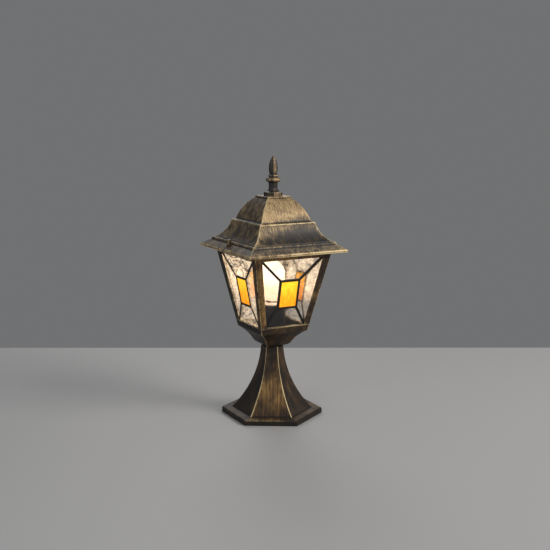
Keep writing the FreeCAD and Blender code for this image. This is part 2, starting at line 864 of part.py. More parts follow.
lattice_cuts = []
glass = {}
for cell, corners in CELLS.items():
    outline = flat_sketch(f"{cell}_outline", corners)
    lattice_cuts.append(
        cell_prism(f"{cell}_window", outline, dim("came_face") / 2, dim("came_depth") + 2, came_back - 1)
    )
    lattice_cuts.append(
        cell_prism(
            f"{cell}_channel", outline, dim("came_web") / 2, channel_depth, pane_middle - channel_depth / 2
        )
    )
    glass[cell] = cell_prism(
        f"{cell}_glass",
        outline,
        dim("came_web") / 2 + dim("glass_gap"),
        dim("glass_thick"),
        pane_middle - dim("glass_thick") / 2,
    )
came_lattice = cut("came_lattice", came_plate, lattice_cuts)
pane_parts = {}
for side, turn, x, y in SIDES:
    pane_parts[f"{side}_came"] = set_in_side(f"{side}_came", came_lattice, turn, x, y)
    for cell in CELLS:
        pane_parts[f"{side}_{cell}"] = set_in_side(f"{side}_{cell}", glass[cell], turn, x, y)

# Lampholder: screwed cap on the tube, ceramic insert, thread shell and outer sleeve
holder = dim("holder_dia") / 2
holder_inside = holder - dim("holder_wall")
seat_inside = holder_inside - dim("seat_width")
tube_grip = tube_thread / 2
boss = tube_grip + dim("boss_wall")
holder_cap = turned(
    "holder_cap",
    [
        (tube_grip, 0),
        (dim("cap_foot") / 2, 0, 0.15),
        (holder, dim("dome_height")),
        (holder, dim("cap_height")),
        (holder_inside, dim("cap_height")),
        (holder_inside, dim("seat_height")),
        (seat_inside, dim("seat_height")),
        (seat_inside, dim("dome_height") + 0.5),
        (boss, dim("boss_height")),
        (tube_grip, dim("boss_height")),
    ],
    holder_z,
)
insert_half = holder_inside - dim("insert_gap")
holder_insert = turned(
    "holder_insert",
    [(0, 0), (insert_half, 0), (insert_half, dim("insert_height")), (0, dim("insert_height"))],
    insert_z,
)
shell_inside = dim("shell_bore") / 2
shell_outside = shell_inside + dim("shell_thick")
sleeve_inside = shell_outside + dim("shell_gap")
sleeve_z = holder_z + dim("cap_height")
sleeve_step = insert_top + dim("insert_gap") - sleeve_z
sleeve_edge = dim("sleeve_edge")
holder_sleeve = turned(
    "holder_sleeve",
    [
        (holder_inside, 0),
        (holder, 0),
        (holder, dim("sleeve_height") - sleeve_edge, 0.2),
        (holder - sleeve_edge, dim("sleeve_height")),
        (sleeve_inside, dim("sleeve_height")),
        (sleeve_inside, sleeve_step),
        (holder_inside, sleeve_step),
    ],
    sleeve_z,
)
thread_shell = ring("thread_shell", shell_outside * 2, shell_inside * 2, dim("shell_height"), insert_top)

# Centre contact: a sprung strip, flat on the insert at one end and raised under the bulb's button
contact_half = dim("contact_length") / 2
contact_outline = upright_sketch(
    "contact_outline",
    [
        (-contact_half, insert_top),
        (-contact_half / 3, insert_top),
        (-contact_half / 6, insert_top + dim("contact_rise")),
        (contact_half, insert_top + dim("contact_rise")),
        (contact_half, insert_top + dim("contact_rise") + dim("contact_thick")),
        (-contact_half / 3, insert_top + dim("contact_rise") + dim("contact_thick")),
        (-contact_half / 2, insert_top + dim("contact_thick")),
        (-contact_half, insert_top + dim("contact_thick")),
    ],
)
centre_contact = pushed("centre_contact", contact_outline, dim("contact_width"), both_ways=True)

# Stick bulb: screw cap, collar just clear of the sleeve, groove and round-ended tube in one solid
bulb_z = insert_top + dim("contact_rise") + dim("contact_thick") + dim("contact_gap")
bulb_cap = shell_inside - dim("bulb_cap_gap")
button = dim("bulb_button") / 2
tube = dim("bulb_dia") / 2
collar = dim("bulb_collar") / 2
collar_rise = sleeve_z + dim("sleeve_height") + dim("bulb_rest") - bulb_z
groove_rise = collar_rise + dim("bulb_collar_height")
bulb = turned(
    "bulb",
    [
        (0, 0),
        (button, 0),
        (button, 1.2),
        (bulb_cap - 3.3, 4),
        (bulb_cap, 5.2),
        (bulb_cap, collar_rise),
        (collar - 1, collar_rise),
        (collar, collar_rise + 1),
        (collar, groove_rise),
        (collar - dim("bulb_groove"), groove_rise),
        (collar - dim("bulb_groove"), groove_rise + 1.2),
        (tube, groove_rise + 1.2),
        (tube, dim("bulb_height") - tube, (math.sqrt(2) - 1) / 2),
        (0, dim("bulb_height")),
    ],
    bulb_z,
)

# Roof: rim, sloping flange, bead, coved skirt, shoulder and dome in one hollow casting
rim_round = dim("rim_round")
rim_low = seat_z - dim("rim_drop")
roof_wall = dim("roof_wall")
roof_outside = faceted(
    "roof_outside",
    [
        (rim_half - rim_round, rim_low, 0.2),
        (rim_half, rim_low + rim_round),
        (rim_half, rim_z - rim_round, 0.15),
        (rim_half - rim_round, rim_z),
        (bead, bead_z, dim("bead_bow")),
        (skirt, skirt_z, -dim("skirt_bow")),
        (shoulder, shoulder_z),
        (ledge, dome_z, dim("dome_bow")),
        (platform - dim("platform_lip"), platform_z),
        (platform, platform_z),
        (platform, crown_z),
    ],
    2,
    rim_half * 2.6,
)
throat = skirt - roof_wall * 2
roof_hollow = faceted(
    "roof_hollow",
    [
        (rim_inside, rim_low - 1),
        (rim_inside, seat_z),
        (throat, seat_z),
        (throat, seat_z + dim("throat_rise")),
        (throat, skirt_z - roof_wall, -dim("skirt_bow")),
        (shoulder - roof_wall, shoulder_z - roof_wall),
        (ledge - roof_wall, dome_z - roof_wall, dim("dome_bow")),
        (platform - roof_wall, crown_under),
    ],
    2,
    rim_half * 2.6,
)
roof_solid = together(
    "roof_solid",
    [
        cut("roof_shell", roof_outside, [roof_hollow]),
        rod("pad_right", dim("pad_dia"), dim("pad_rise"), screw_x, 0, seat_z),
        rod("pad_left", dim("pad_dia"), dim("pad_rise"), -screw_x, 0, seat_z),
    ],
)
screw_hole = dim("screw_dia") + dim("screw_hole_gap") * 2
roof = cut(
    "roof",
    roof_solid,
    [
        rod("screw_hole_right", screw_hole, dim("pad_rise") + 4, screw_x, 0, seat_z - 2),
        rod("screw_hole_left", screw_hole, dim("pad_rise") + 4, -screw_x, 0, seat_z - 2),
        rod("stud_hole", dim("stud_dia") + dim("hole_gap") * 2, dim("roof_crown") + 2, z=crown_under - 1),
    ],
)

# Roof screws: domed heads on washers, through the roof's pads into the cage's lugs
head_z = pad_z + dim("head_washer_thick")
shank = head_z - lug_z - 0.5
head = dim("head_dia") / 2
roof_screw = turned(
    "roof_screw",
    [
        (0, -shank),
        (dim("screw_dia") / 2, -shank),
        (dim("screw_dia") / 2, 0),
        (head, 0),
        (head, dim("head_side"), 0.2),
        (head / 5, dim("head_height")),
        (0, dim("head_height")),
    ],
)
head_washer = ring("head_washer", dim("head_washer_dia"), screw_hole, dim("head_washer_thick"), 0)
roof_screws = grouped(
    "roof_screws",
    [
        copied("roof_screw_right", roof_screw, screw_x, 0, head_z),
        copied("roof_screw_left", roof_screw, -screw_x, 0, head_z),
    ],
)
screw_washers = grouped(
    "screw_washers",
    [
        copied("head_washer_right", head_washer, screw_x, 0, pad_z),
        copied("head_washer_left", head_washer, -screw_x, 0, pad_z),
    ],
)

# Finial: octagonal base, waisted neck, knop, collar and spear, held by a stud, washer and nut
finial_neck = dim("finial_neck") / 2
finial_throat = dim("finial_throat") / 2
finial_gorge = dim("finial_gorge") / 2
knop_z = crown_z + dim("finial_knop_rise")
collar_z = crown_z + dim("finial_collar_rise")
finial_outside = faceted(
    "finial_outside",
    [
        (dim("finial_base") / 2, crown_z),
        (dim("finial_base") / 2, crown_z + dim("finial_base_height")),
        (dim("finial_base") / 2 - dim("finial_edge"), crown_z + dim("finial_base_height") + dim("finial_edge")),
        (dim("finial_foot") / 2, crown_z + dim("finial_base_height") + dim("finial_edge") * 1.5, -0.16),
        (finial_neck, crown_z + dim("finial_neck_rise"), -0.06),
        (finial_throat, knop_z - dim("finial_knop_half"), 0.16),
        (dim("finial_knop") / 2, knop_z, 0.2),
        (finial_gorge, knop_z + dim("finial_knop_half")),
        (finial_gorge, collar_z - dim("finial_collar_half"), 0.2),
        (dim("finial_collar") / 2, collar_z, 0.2),
        (finial_gorge, collar_z + dim("finial_collar_half"), -0.1),
        (dim("finial_waist") / 2, crown_z + dim("finial_waist_rise"), 0.06),
        (dim("finial_spear") / 2, crown_z + dim("finial_spear_rise"), 0.08),
        (dim("finial_tip") / 2, dim("total_height") - dim("finial_tip") / 2),
        (dim("finial_tip") / 4, dim("total_height")),
    ],
    4,
    dim("finial_base") * 1.3,
)
finial = cut(
    "finial",
    finial_outside,
    [rod("finial_bore", stud_thread, dim("stud_depth") + 2, z=crown_z - 1)],
)
stud_z = crown_under - dim("stud_tail")
finial_stud = rod(
    "finial_stud", dim("stud_dia"), dim("stud_tail") + dim("roof_crown") + dim("stud_depth"), z=stud_z
)
finial_washer = ring(
    "finial_washer",
    dim("stud_washer_dia"),
    dim("stud_dia") + dim("hole_gap") * 2,
    dim("stud_washer_thick"),
    crown_under - dim("stud_washer_thick"),
)
finial_nut = hex_nut(
    "finial_nut",
    dim("stud_nut_flats"),
    stud_thread,
    dim("stud_nut_height"),
    crown_under - dim("stud_washer_thick") - dim("stud_nut_height"),
)

doc.recompute()

NODES = {
    "pedestal": pedestal,
    "mounting_bar": mounting_bar,
    "set_screws": set_screws,
    "cable_grommet": cable_grommet,
    "terminal_block": terminal_block,
    "terminal_screws": terminal_screws,
    "lead_live": lead_live,
    "lead_neutral": lead_neutral,
    "lead_earth": lead_earth,
    "earth_tag": earth_tag,
    "central_tube": central_tube,
    "lower_washer": lower_washer,
    "lower_nut": lower_nut,
    "neck_gasket": neck_gasket,
    "lantern_cage": lantern_cage,
    "upper_washer": upper_washer,
    "upper_nut": upper_nut,
    "holder_cap": holder_cap,
    "holder_insert": holder_insert,
    "holder_sleeve": holder_sleeve,
    "thread_shell": thread_shell,
    "centre_contact": centre_contact,
    "bulb": bulb,
    "roof": roof,
    "finial": finial,
    "finial_stud": finial_stud,
    "finial_washer": finial_washer,
    "finial_nut": finial_nut,
    "roof_screws": roof_screws,
    "screw_washers": screw_washers,
}
NODES.update(pane_parts)

for item in doc.Objects:
    faults = [state for state in item.State if state in ("Invalid", "Error")]
    if faults:
        raise RuntimeError(f"{item.Name} did not build: {faults}")

for label, item in NODES.items():
    item.Label = label
    if item.Shape.isNull() or not item.Shape.isValid():
        raise RuntimeError(f"{label} has no sound shape")
    if item.Shape.Volume <= 0:
        raise RuntimeError(f"{label} is not solid")
    item.Shape.exportStep(f"parts/{label}.step")
    print(label, len(item.Shape.Solids), round(item.Shape.Volume, 1))
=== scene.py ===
"""Garden post lamp: six-sided pedestal, leaded lantern and ogee roof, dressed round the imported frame."""

import json
import math

import bmesh
import bpy
import numpy as np
from mathutils import Matrix, Vector


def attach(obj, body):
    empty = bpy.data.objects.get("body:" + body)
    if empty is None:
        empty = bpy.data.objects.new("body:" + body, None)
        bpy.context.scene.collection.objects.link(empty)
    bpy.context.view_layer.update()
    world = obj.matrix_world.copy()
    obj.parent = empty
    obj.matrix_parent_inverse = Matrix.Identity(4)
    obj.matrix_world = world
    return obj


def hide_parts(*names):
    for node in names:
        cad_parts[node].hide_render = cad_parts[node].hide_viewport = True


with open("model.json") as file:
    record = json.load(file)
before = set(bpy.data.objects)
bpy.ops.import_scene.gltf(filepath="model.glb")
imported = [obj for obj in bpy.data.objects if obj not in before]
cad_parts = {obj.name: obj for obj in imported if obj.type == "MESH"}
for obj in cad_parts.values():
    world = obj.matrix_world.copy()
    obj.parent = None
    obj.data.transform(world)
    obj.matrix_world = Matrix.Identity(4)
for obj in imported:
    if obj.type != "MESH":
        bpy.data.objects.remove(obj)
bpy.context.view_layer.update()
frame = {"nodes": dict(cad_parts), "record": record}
nodes = frame["nodes"]
MM = 0.001
CM = 10.0  # millimetres in a centimetre, the unit of the brushing map

# Outlines, in millimetres

OUTLINE_STEP = 0.25
TURN_PULL = 5.0  # length that a turn of one radian counts for when points are picked
BULGE_SPAN = 6  # fine points to each side whose turn counts towards a bulge
BULGE_WIDTH = 2.5  # fine points over which that count fades
FULL_BULGE = 0.9  # counted turn of a full edge, in radians


def bow_after(corner):
    """Bow of the edge that follows a corner, 0 where none is given."""
    return corner[2] if len(corner) > 2 else 0.0


def bowed_edge(start, stop, bow, count):
    """Points of one edge of an outline, its last end left out.

    A straight edge is an even division. A bowed one is a circular arc whose rise is bow times the
    chord, to the right of travel: with half angle a = 2 atan(2 bow) and radius = chord / (2 sin a),
    the point at angle f lies radius sin f along the chord and radius (cos f - cos a) beside it.
    """
    start = np.array(start, float)
    stop = np.array(stop, float)
    share = np.linspace(0.0, 1.0, count, endpoint=False)[:, None]
    chord = stop - start
    if bow == 0:
        return start + chord * share
    length = np.hypot(*chord)
    along = chord / length
    beside = np.array([along[1], -along[0]])
    half_angle = 2.0 * math.atan(2.0 * bow)
    radius = length / (2.0 * math.sin(half_angle))
    angle = half_angle * (2.0 * share - 1.0)
    middle = (start + stop) / 2.0
    rise = radius * (np.cos(angle) - math.cos(half_angle))
    return middle + along * radius * np.sin(angle) + beside * rise


def closed_outline(corners):
    """Closed outline through corners (half width, height, bow of the edge that follows), in small steps."""
    edges = []
    for here, there in zip(corners, corners[1:] + corners[:1]):
        length = math.hypot(there[0] - here[0], there[1] - here[1])
        count = max(4, int(length / OUTLINE_STEP))
        edges.append(bowed_edge(here[:2], there[:2], bow_after(here), count))
    return np.concatenate(edges)


def mirrored_outline(side):
    """Closed outline made of a side that starts and ends on the axis and its mirror image."""
    left = []
    for index in range(len(side) - 2, 0, -1):
        left.append((-side[index][0], side[index][1], bow_after(side[index - 1])))
    return side[:-1] + [(*side[-1][:2], bow_after(side[-2]))] + left


def softened(points, reach):
    """Closed outline with its corners rounded.

    Each coordinate's waves of length w fade by exp(-2 (pi reach / w)^2).
    """
    lengths = np.linalg.norm(np.roll(points, -1, 0) - points, axis=1)
    wave = np.fft.fftfreq(len(points)) * len(points) / lengths.sum()
    fade = np.exp(-2.0 * (math.pi * reach * wave) ** 2)
    return np.real(np.fft.ifft(np.fft.fft(points, axis=0) * fade[:, None], axis=0))


def turning(points):
    """Angle that a closed outline turns through at each point, positive where it bulges."""
    ahead = np.roll(points, -1, 0) - points
    heading = np.arctan2(ahead[:, 1], ahead[:, 0])
    return (heading - np.roll(heading, 1) + math.pi) % (2.0 * math.pi) - math.pi


def picked(points, count):
    """Closed outline taken down to count points, closer where it turns; with its bulge and run length.

    Points are even steps of length + TURN_PULL * turn angle. Bulge is the turn within about a
    millimetre, as a share of FULL_BULGE: positive on edges, negative in hollows.
    """
    step = np.linalg.norm(np.roll(points, -1, 0) - points, axis=1)
    turn = turning(points)
    run = np.concatenate([[0.0], np.cumsum(step)[:-1]])
    kernel = np.exp(-0.5 * (np.arange(-BULGE_SPAN, BULGE_SPAN + 1) / BULGE_WIDTH) ** 2)
    padded = np.concatenate([turn[-BULGE_SPAN:], turn, turn[:BULGE_SPAN]])
    bulge = np.convolve(padded, kernel, mode="valid")
    weight = np.cumsum(step + TURN_PULL * np.abs(turn))
    want = np.linspace(0.0, weight[-1], count, endpoint=False)
    index = np.unique(np.searchsorted(weight, want).clip(0, len(points) - 1))
    return points[index], np.clip(bulge[index] / FULL_BULGE, -1.0, 1.0), run[index]


def right_half(rows, edge, run, gap):
    """What was picked of a mirrored outline, beyond gap on the right of its axis, in running order."""
    keep = rows[:, 0] > gap
    order = np.argsort(run[keep])
    return rows[keep][order], edge[keep][order], run[keep][order]


# Meshes


def put(name, data):
    """New object in the scene for a mesh, a light or a camera."""
    thing = bpy.data.objects.new(name, data)
    bpy.context.scene.collection.objects.link(thing)
    return thing


def shade_smooth(mesh):
    """Shade all faces of a mesh smooth."""
    mesh.polygons.foreach_set("use_smooth", np.ones(len(mesh.polygons), bool))
    mesh.update()


def put_mesh(name, points, faces, uv=(), marks=None):
    """New object from points in millimetres and faces of corner numbers, turned to face outwards."""
    volume = 0.0
    for face in faces:
        first = points[face[:, 0]]
        for corner in range(1, face.shape[1] - 1):
            wedge = np.cross(points[face[:, corner]], points[face[:, corner + 1]])
            volume += np.einsum("ij,ij->", first, wedge)
    if volume < 0:
        faces = [face[:, ::-1] for face in faces]
        uv = [corners[:, ::-1] for corners in uv]
    mesh = bpy.data.meshes.new(name)
    mesh.from_pydata((points * MM).tolist(), [], [row for face in faces for row in face.tolist()])
    if uv:
        layer = mesh.uv_layers.new(name="brush")
        flat = np.concatenate([corners.reshape(-1) for corners in uv])
        layer.data.foreach_set("uv", flat.astype(np.float32))
    for mark, values in (marks or {}).items():
        attribute = mesh.attributes.new(mark, "FLOAT", "POINT")
        attribute.data.foreach_set("value", values.astype(np.float32).ravel())
    shade_smooth(mesh)
    return put(name, mesh)


def strip_faces(rows, columns, row_wraps, column_wraps):
    """Corner numbers of the quads of a grid whose points are numbered row by row."""
    row = np.arange(rows if row_wraps else rows - 1)
    column = np.arange(columns if column_wraps else columns - 1)
    row, column = [part.ravel() for part in np.meshgrid(row, column, indexing="ij")]
    low = row * columns
    high = (row + 1) % rows * columns
    beside = (column + 1) % columns
    return np.stack([low + column, low + beside, high + beside, high + column], axis=1)


def end_fans(rows, around):
    """Triangles from a grid's first and last rings to two poles that are numbered after its points."""
    ring = np.arange(around)
    after = (ring + 1) % around
    last = (rows - 1) * around
    pole = np.full(around, rows * around)
    low = np.stack([pole, after, ring], axis=1)
    high = np.stack([pole + 1, last + ring, last + after], axis=1)
    return [low, high]


CORNER_STEPS = 3  # steps of a corner's round at each end of a side
CORNER_SHARE = 0.45  # most of the half width that a corner's round may take
NEAR_CORNER = np.array([0.006, 0.016, 0.034, 0.065, 0.12, 0.2, 0.31, 0.45, 0.6, 0.75, 0.9])
SIDE_SHIFT = 31.7  # centimetres between neighbouring sides on the brushing map


def faceted(
    name, corners, sides, corner_round, count, gold_and_painted_light, edge_rub_and_highlight, soft=0.45, poles=False, pole_gap=0.05
):
    """Casting with regular polygons as level cuts: an outline carried round a polygon with rounded corners.

    A point at half width h, height z and place f across a side, from -1 to 1, is
    (h - r)(n + f tan(pi / sides) t) + r m, where n and t are the side's normal and direction,
    r the corner's round, and m the normal, which turns by pi / sides at each end of the side.
    """
    loop = softened(closed_outline(mirrored_outline(corners) if poles else corners), soft)
    rows, edge, run = picked(loop, count)
    if poles:
        rows, edge, run = right_half(rows, edge, run, pole_gap)
    half, height = rows[:, 0], rows[:, 1]
    tight = np.minimum(corner_round, CORNER_SHARE * half)
    quarter = math.pi / sides
    bend = np.linspace(0.0, quarter, CORNER_STEPS + 1)
    ends = np.ones(CORNER_STEPS + 1)
    place = np.concatenate([-ends, NEAR_CORNER - 1.0, [0.0], (1.0 - NEAR_CORNER)[::-1], ends])
    swing = np.concatenate([-bend[:0:-1], np.zeros(len(place) - 2 * CORNER_STEPS), bend[1:]])
    angle = np.arange(sides)[:, None] * 2.0 * quarter
    normal = np.stack([np.cos(angle), np.sin(angle)], axis=-1)
    along = np.stack([-np.sin(angle), np.cos(angle)], axis=-1)
    turned_normal = np.stack([np.cos(angle + swing), np.sin(angle + swing)], axis=-1)
    flat = normal + along * (place * math.tan(quarter))[None, :, None]
    level = (half - tight)[:, None, None, None] * flat + tight[:, None, None, None] * turned_normal
    upright = np.broadcast_to(height[:, None, None, None], level.shape[:3] + (1,))
    points = np.concatenate([level, upright], axis=-1)[:, :, :-1].reshape(-1, 3)

    reach = (half - tight)[:, None] * math.tan(quarter)
    ridge = reach * (1.0 - np.abs(place)) + tight[:, None] * (quarter - np.abs(swing))
    ridge = ridge[:, None, :]
    across = reach * place + tight[:, None] * swing
    u = across[:, None, :] / CM + np.arange(sides)[None, :, None] * SIDE_SHIFT
    v = np.broadcast_to(run[:, None, None] / CM, u.shape)
    spots = half[:, None, None], height[:, None, None], place[None, None, :]
    # Edge and ridge rub, partly real rub and partly painted highlight.
    edge_rub_and_gleam, ridge_rub_and_gleam, ridge_wide = edge_rub_and_highlight(*spots)
    edge = edge[:, None, None]
    wear_and_highlight = np.maximum(np.maximum(edge, 0.0) * edge_rub_and_gleam, np.exp(-ridge / ridge_wide) * ridge_rub_and_gleam)
    wear_and_highlight = np.broadcast_to(wear_and_highlight, u.shape)
    # Gold mark: the casting's gilding with painted light and shade from the side weights; hollows keep less
    # gold.
    gilt_and_painted_light = np.broadcast_to(gold_and_painted_light(*spots, ridge), u.shape) - np.maximum(-edge, 0.0)
    marks = {"wear_and_highlight": wear_and_highlight[:, :, :-1], "gilt_and_painted_light": gilt_and_painted_light[:, :, :-1]}

    around = sides * (len(place) - 1)
    faces = [strip_faces(len(half), around, not poles, True)]
    uv_grid = np.stack([u, v], axis=-1)
    here, there = uv_grid[:, :, :-1], uv_grid[:, :, 1:]
    quads = np.stack([here, there, np.roll(there, -1, 0), np.roll(here, -1, 0)], axis=3)
    uv = [(quads[:-1] if poles else quads).reshape(-1, 4, 2)]
    if poles:
        points = np.concatenate([points, [[0.0, 0.0, height[0]], [0.0, 0.0, height[-1]]]])
        marks = {mark: np.append(values, [0.0, 0.0]) for mark, values in marks.items()}
        faces += end_fans(len(half), around)
        for row, fan in ((0, (here, there, here)), (-1, (here, here, there))):
            uv.append(np.stack([part[row] for part in fan], axis=2).reshape(-1, 3, 2))
    return put_mesh(name, points, faces, uv, marks)


def turned(name, corners, around, soft, count, centre=(0.0, 0.0), wave=None, pole_gap=0.02):
    """Piece turned about an upright axis from an outline that starts and ends on it.

    A point at radius r, height z and angle a is (r cos a, r sin a, z); wave adds to the radius.
    """
    loop = softened(closed_outline(mirrored_outline(corners)), soft)
    rows = right_half(*picked(loop, count), pole_gap)[0]
    angle = np.linspace(0.0, 2.0 * math.pi, around, endpoint=False)
    radius = np.broadcast_to(rows[:, :1], (len(rows), around))
    height = np.broadcast_to(rows[:, 1:], (len(rows), around))
    if wave is not None:
        radius = radius + wave(radius, height, angle[None, :])
    x, y = centre
    grid = np.stack([x + radius * np.cos(angle), y + radius * np.sin(angle), height], axis=-1)
    poles = [[x, y, rows[0, 1]], [x, y, rows[-1, 1]]]
    points = np.concatenate([grid.reshape(-1, 3), poles])
    faces = [strip_faces(len(rows), around, False, True)] + end_fans(len(rows), around)
    return put_mesh(name, points, faces)


MERGE_REACH = 0.002 * MM
SHARP_ANGLE = math.radians(28.0)


def eased_copy(node, name, width):
    """A node's own shape with its doubled points merged and a small round on its sharp edges."""
    mesh = nodes[node].data.copy()
    mesh.materials.clear()
    work = bmesh.new()
    work.from_mesh(mesh)
    bmesh.ops.remove_doubles(work, verts=work.verts, dist=MERGE_REACH)
    work.to_mesh(mesh)
    work.free()
    shade_smooth(mesh)
    thing = put(name, mesh)
    ease = thing.modifiers.new("eased edges", "BEVEL")
    ease.width = width * MM
    ease.segments = 2
    ease.limit_method = "ANGLE"
    ease.angle_limit = SHARP_ANGLE
    ease.use_clamp_overlap = False
    ease.harden_normals = True
    return thing


def dress(piece, finish, body, node):
    """Give a piece its finish, hang it on the body it rides on, and hide the node it stands for."""
    piece.data.materials.append(finish)
    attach(piece, body)
    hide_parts(node)


# Finishes, with lengths in metres or, on the brushing map, in centimetres


class Finish:
    """A material while it is mixed: each call adds nodes and gives back an outlet."""

    def __init__(self, name):
        self.material = bpy.data.materials.new(name)
        self.material.use_nodes = True
        self.tree = self.material.node_tree
        self.shader = self.tree.nodes["Principled BSDF"]

    def add(self, kind, inputs, outlet=0, **settings):
        """Add a node, set it up, and join or set its inlets."""
        node = self.tree.nodes.new(kind)
        for field, value in settings.items():
            setattr(node, field, value)
        for inlet, value in inputs.items():
            self.join(node.inputs[inlet], value)
        return node.outputs[outlet]

    def join(self, inlet, value):
        """Link an outlet to an inlet, or set the inlet to a plain value."""
        if isinstance(value, bpy.types.NodeSocket):
            self.tree.links.new(value, inlet)
        else:
            inlet.default_value = value

    def set(self, **inlets):
        """Set or link the shader's own inlets, underscores standing for spaces."""
        for field, value in inlets.items():
            self.join(self.shader.inputs[field.replace("_", " ")], value)
        return self.material

    def sum(self, operation, first, second=0.0, third=0.0, held=False):
        """One step of arithmetic, held between 0 and 1 if asked."""
        inlets = {0: first, 1: second, 2: third}
        return self.add("ShaderNodeMath", inlets, operation=operation, use_clamp=held)

    def total(self, base, *shares):
        """A base plus each value times its weight."""
        for value, weight in shares:
            base = self.sum("MULTIPLY_ADD", value, weight, base)
        return base

    def place(self):
        """Where a point lies in the object's own frame, in metres."""
        return self.add("ShaderNodeTexCoord", {}, outlet="Object")

    def axes(self, vector):
        """The three parts of a vector."""
        return tuple(self.add("ShaderNodeSeparateXYZ", {0: vector}).node.outputs)

    def brush(self):
        """Place on the piece's own brushing map, in centimetres."""
        return self.add("ShaderNodeUVMap", {}, uv_map="brush")

    def mark(self, name):
        """A number that the piece carries at its points."""
        return self.add("ShaderNodeAttribute", {}, outlet="Fac", attribute_name=name)

    def scaled(self, vector, scale):
        """Vector stretched along its axes."""
        return self.add("ShaderNodeMapping", {"Vector": vector, "Scale": scale})

    def noise(self, vector, scale=1.0, detail=3.0, roughness=0.6, distortion=0.0):
        """Cloudy noise from 0 to 1."""
        inlets = {
            "Vector": vector,
            "Scale": scale,
            "Detail": detail,
            "Roughness": roughness,
            "Distortion": distortion,
        }
        return self.add("ShaderNodeTexNoise", inlets)

    def spread(self, value, low, high, start=0.0, stop=1.0):
        """Value eased from start to stop as it goes from low to high."""
        inlets = {"Value": value, 1: low, 2: high, 3: start, 4: stop}
        return self.add("ShaderNodeMapRange", inlets, interpolation_type="SMOOTHSTEP")

    def line(self, value, middle, near, far, strength):
        """Soft line where value is close to middle: full strength within near of it, none beyond far."""
        away = self.sum("ABSOLUTE", self.sum("SUBTRACT", value, middle))
        return self.spread(away, near, far, start=strength, stop=0.0)

    def blend(self, share, first, second):
        """Two colours mixed."""
        inlets = {"Factor": share, 6: first, 7: second}
        return self.add("ShaderNodeMix", inlets, outlet=2, data_type="RGBA")

    def bump(self, height, strength, depth):
        """Small relief for the shader's normal, its depth in metres."""
        return self.add("ShaderNodeBump", {"Height": height, "Strength": strength, "Distance": depth})


BLACK = (0.0, 0.0, 0.0, 1.0)
PALE_GOLD = (0.78, 0.61, 0.34, 1.0)
ROOF_COAT = {
    "dark": (0.021, 0.019, 0.0175, 1.0),
    "brown": (0.070, 0.043, 0.022, 1.0),
    "dim": (0.21, 0.125, 0.06, 1.0),
    "bright": (0.58, 0.425, 0.215, 1.0),
    "sheen": 0.48,
    # Greyer tones over the flange's heights: painted reflection of the bright surround on the up-turned
    # flange.
    "sky_reflection_brown": (0.080, 0.068, 0.060, 1.0),
    "sky_reflection_dim": (0.20, 0.165, 0.135, 1.0),
    "sky_reflection_heights": (0.2768, 0.2780, 0.2838, 0.2856),
}
FINIAL_COAT = {
    "dark": (0.016, 0.0135, 0.012, 1.0),
    "brown": (0.075, 0.043, 0.02, 1.0),
    "dim": (0.24, 0.125, 0.055, 1.0),
    "bright": (0.62, 0.445, 0.23, 1.0),
    "sheen": 0.5,
}
FOOT_COAT = {
    "dark": (0.017, 0.0125, 0.0095, 1.0),
    "brown": (0.080, 0.043, 0.017, 1.0),
    "dim": (0.17, 0.085, 0.03, 1.0),
    "bright": (0.42, 0.255, 0.09, 1.0),
    "sheen": 0.28,
}
SHORT_STROKES = {
    "streak_scale": (7.5, 0.65, 1.0),
    "fine_scale": (20.0, 2.0, 1.0),
    "patch_scale": (0.7, 0.6, 1.0),
    "margin": 0.27,
}
LONG_STROKES = {
    "streak_scale": (4.5, 0.11, 1.0),
    "fine_scale": (15.0, 0.3, 1.0),
    "patch_scale": (0.45, 0.3, 1.0),
    "margin": 0.14,
}
BRUSH_DEPTH = 0.00025


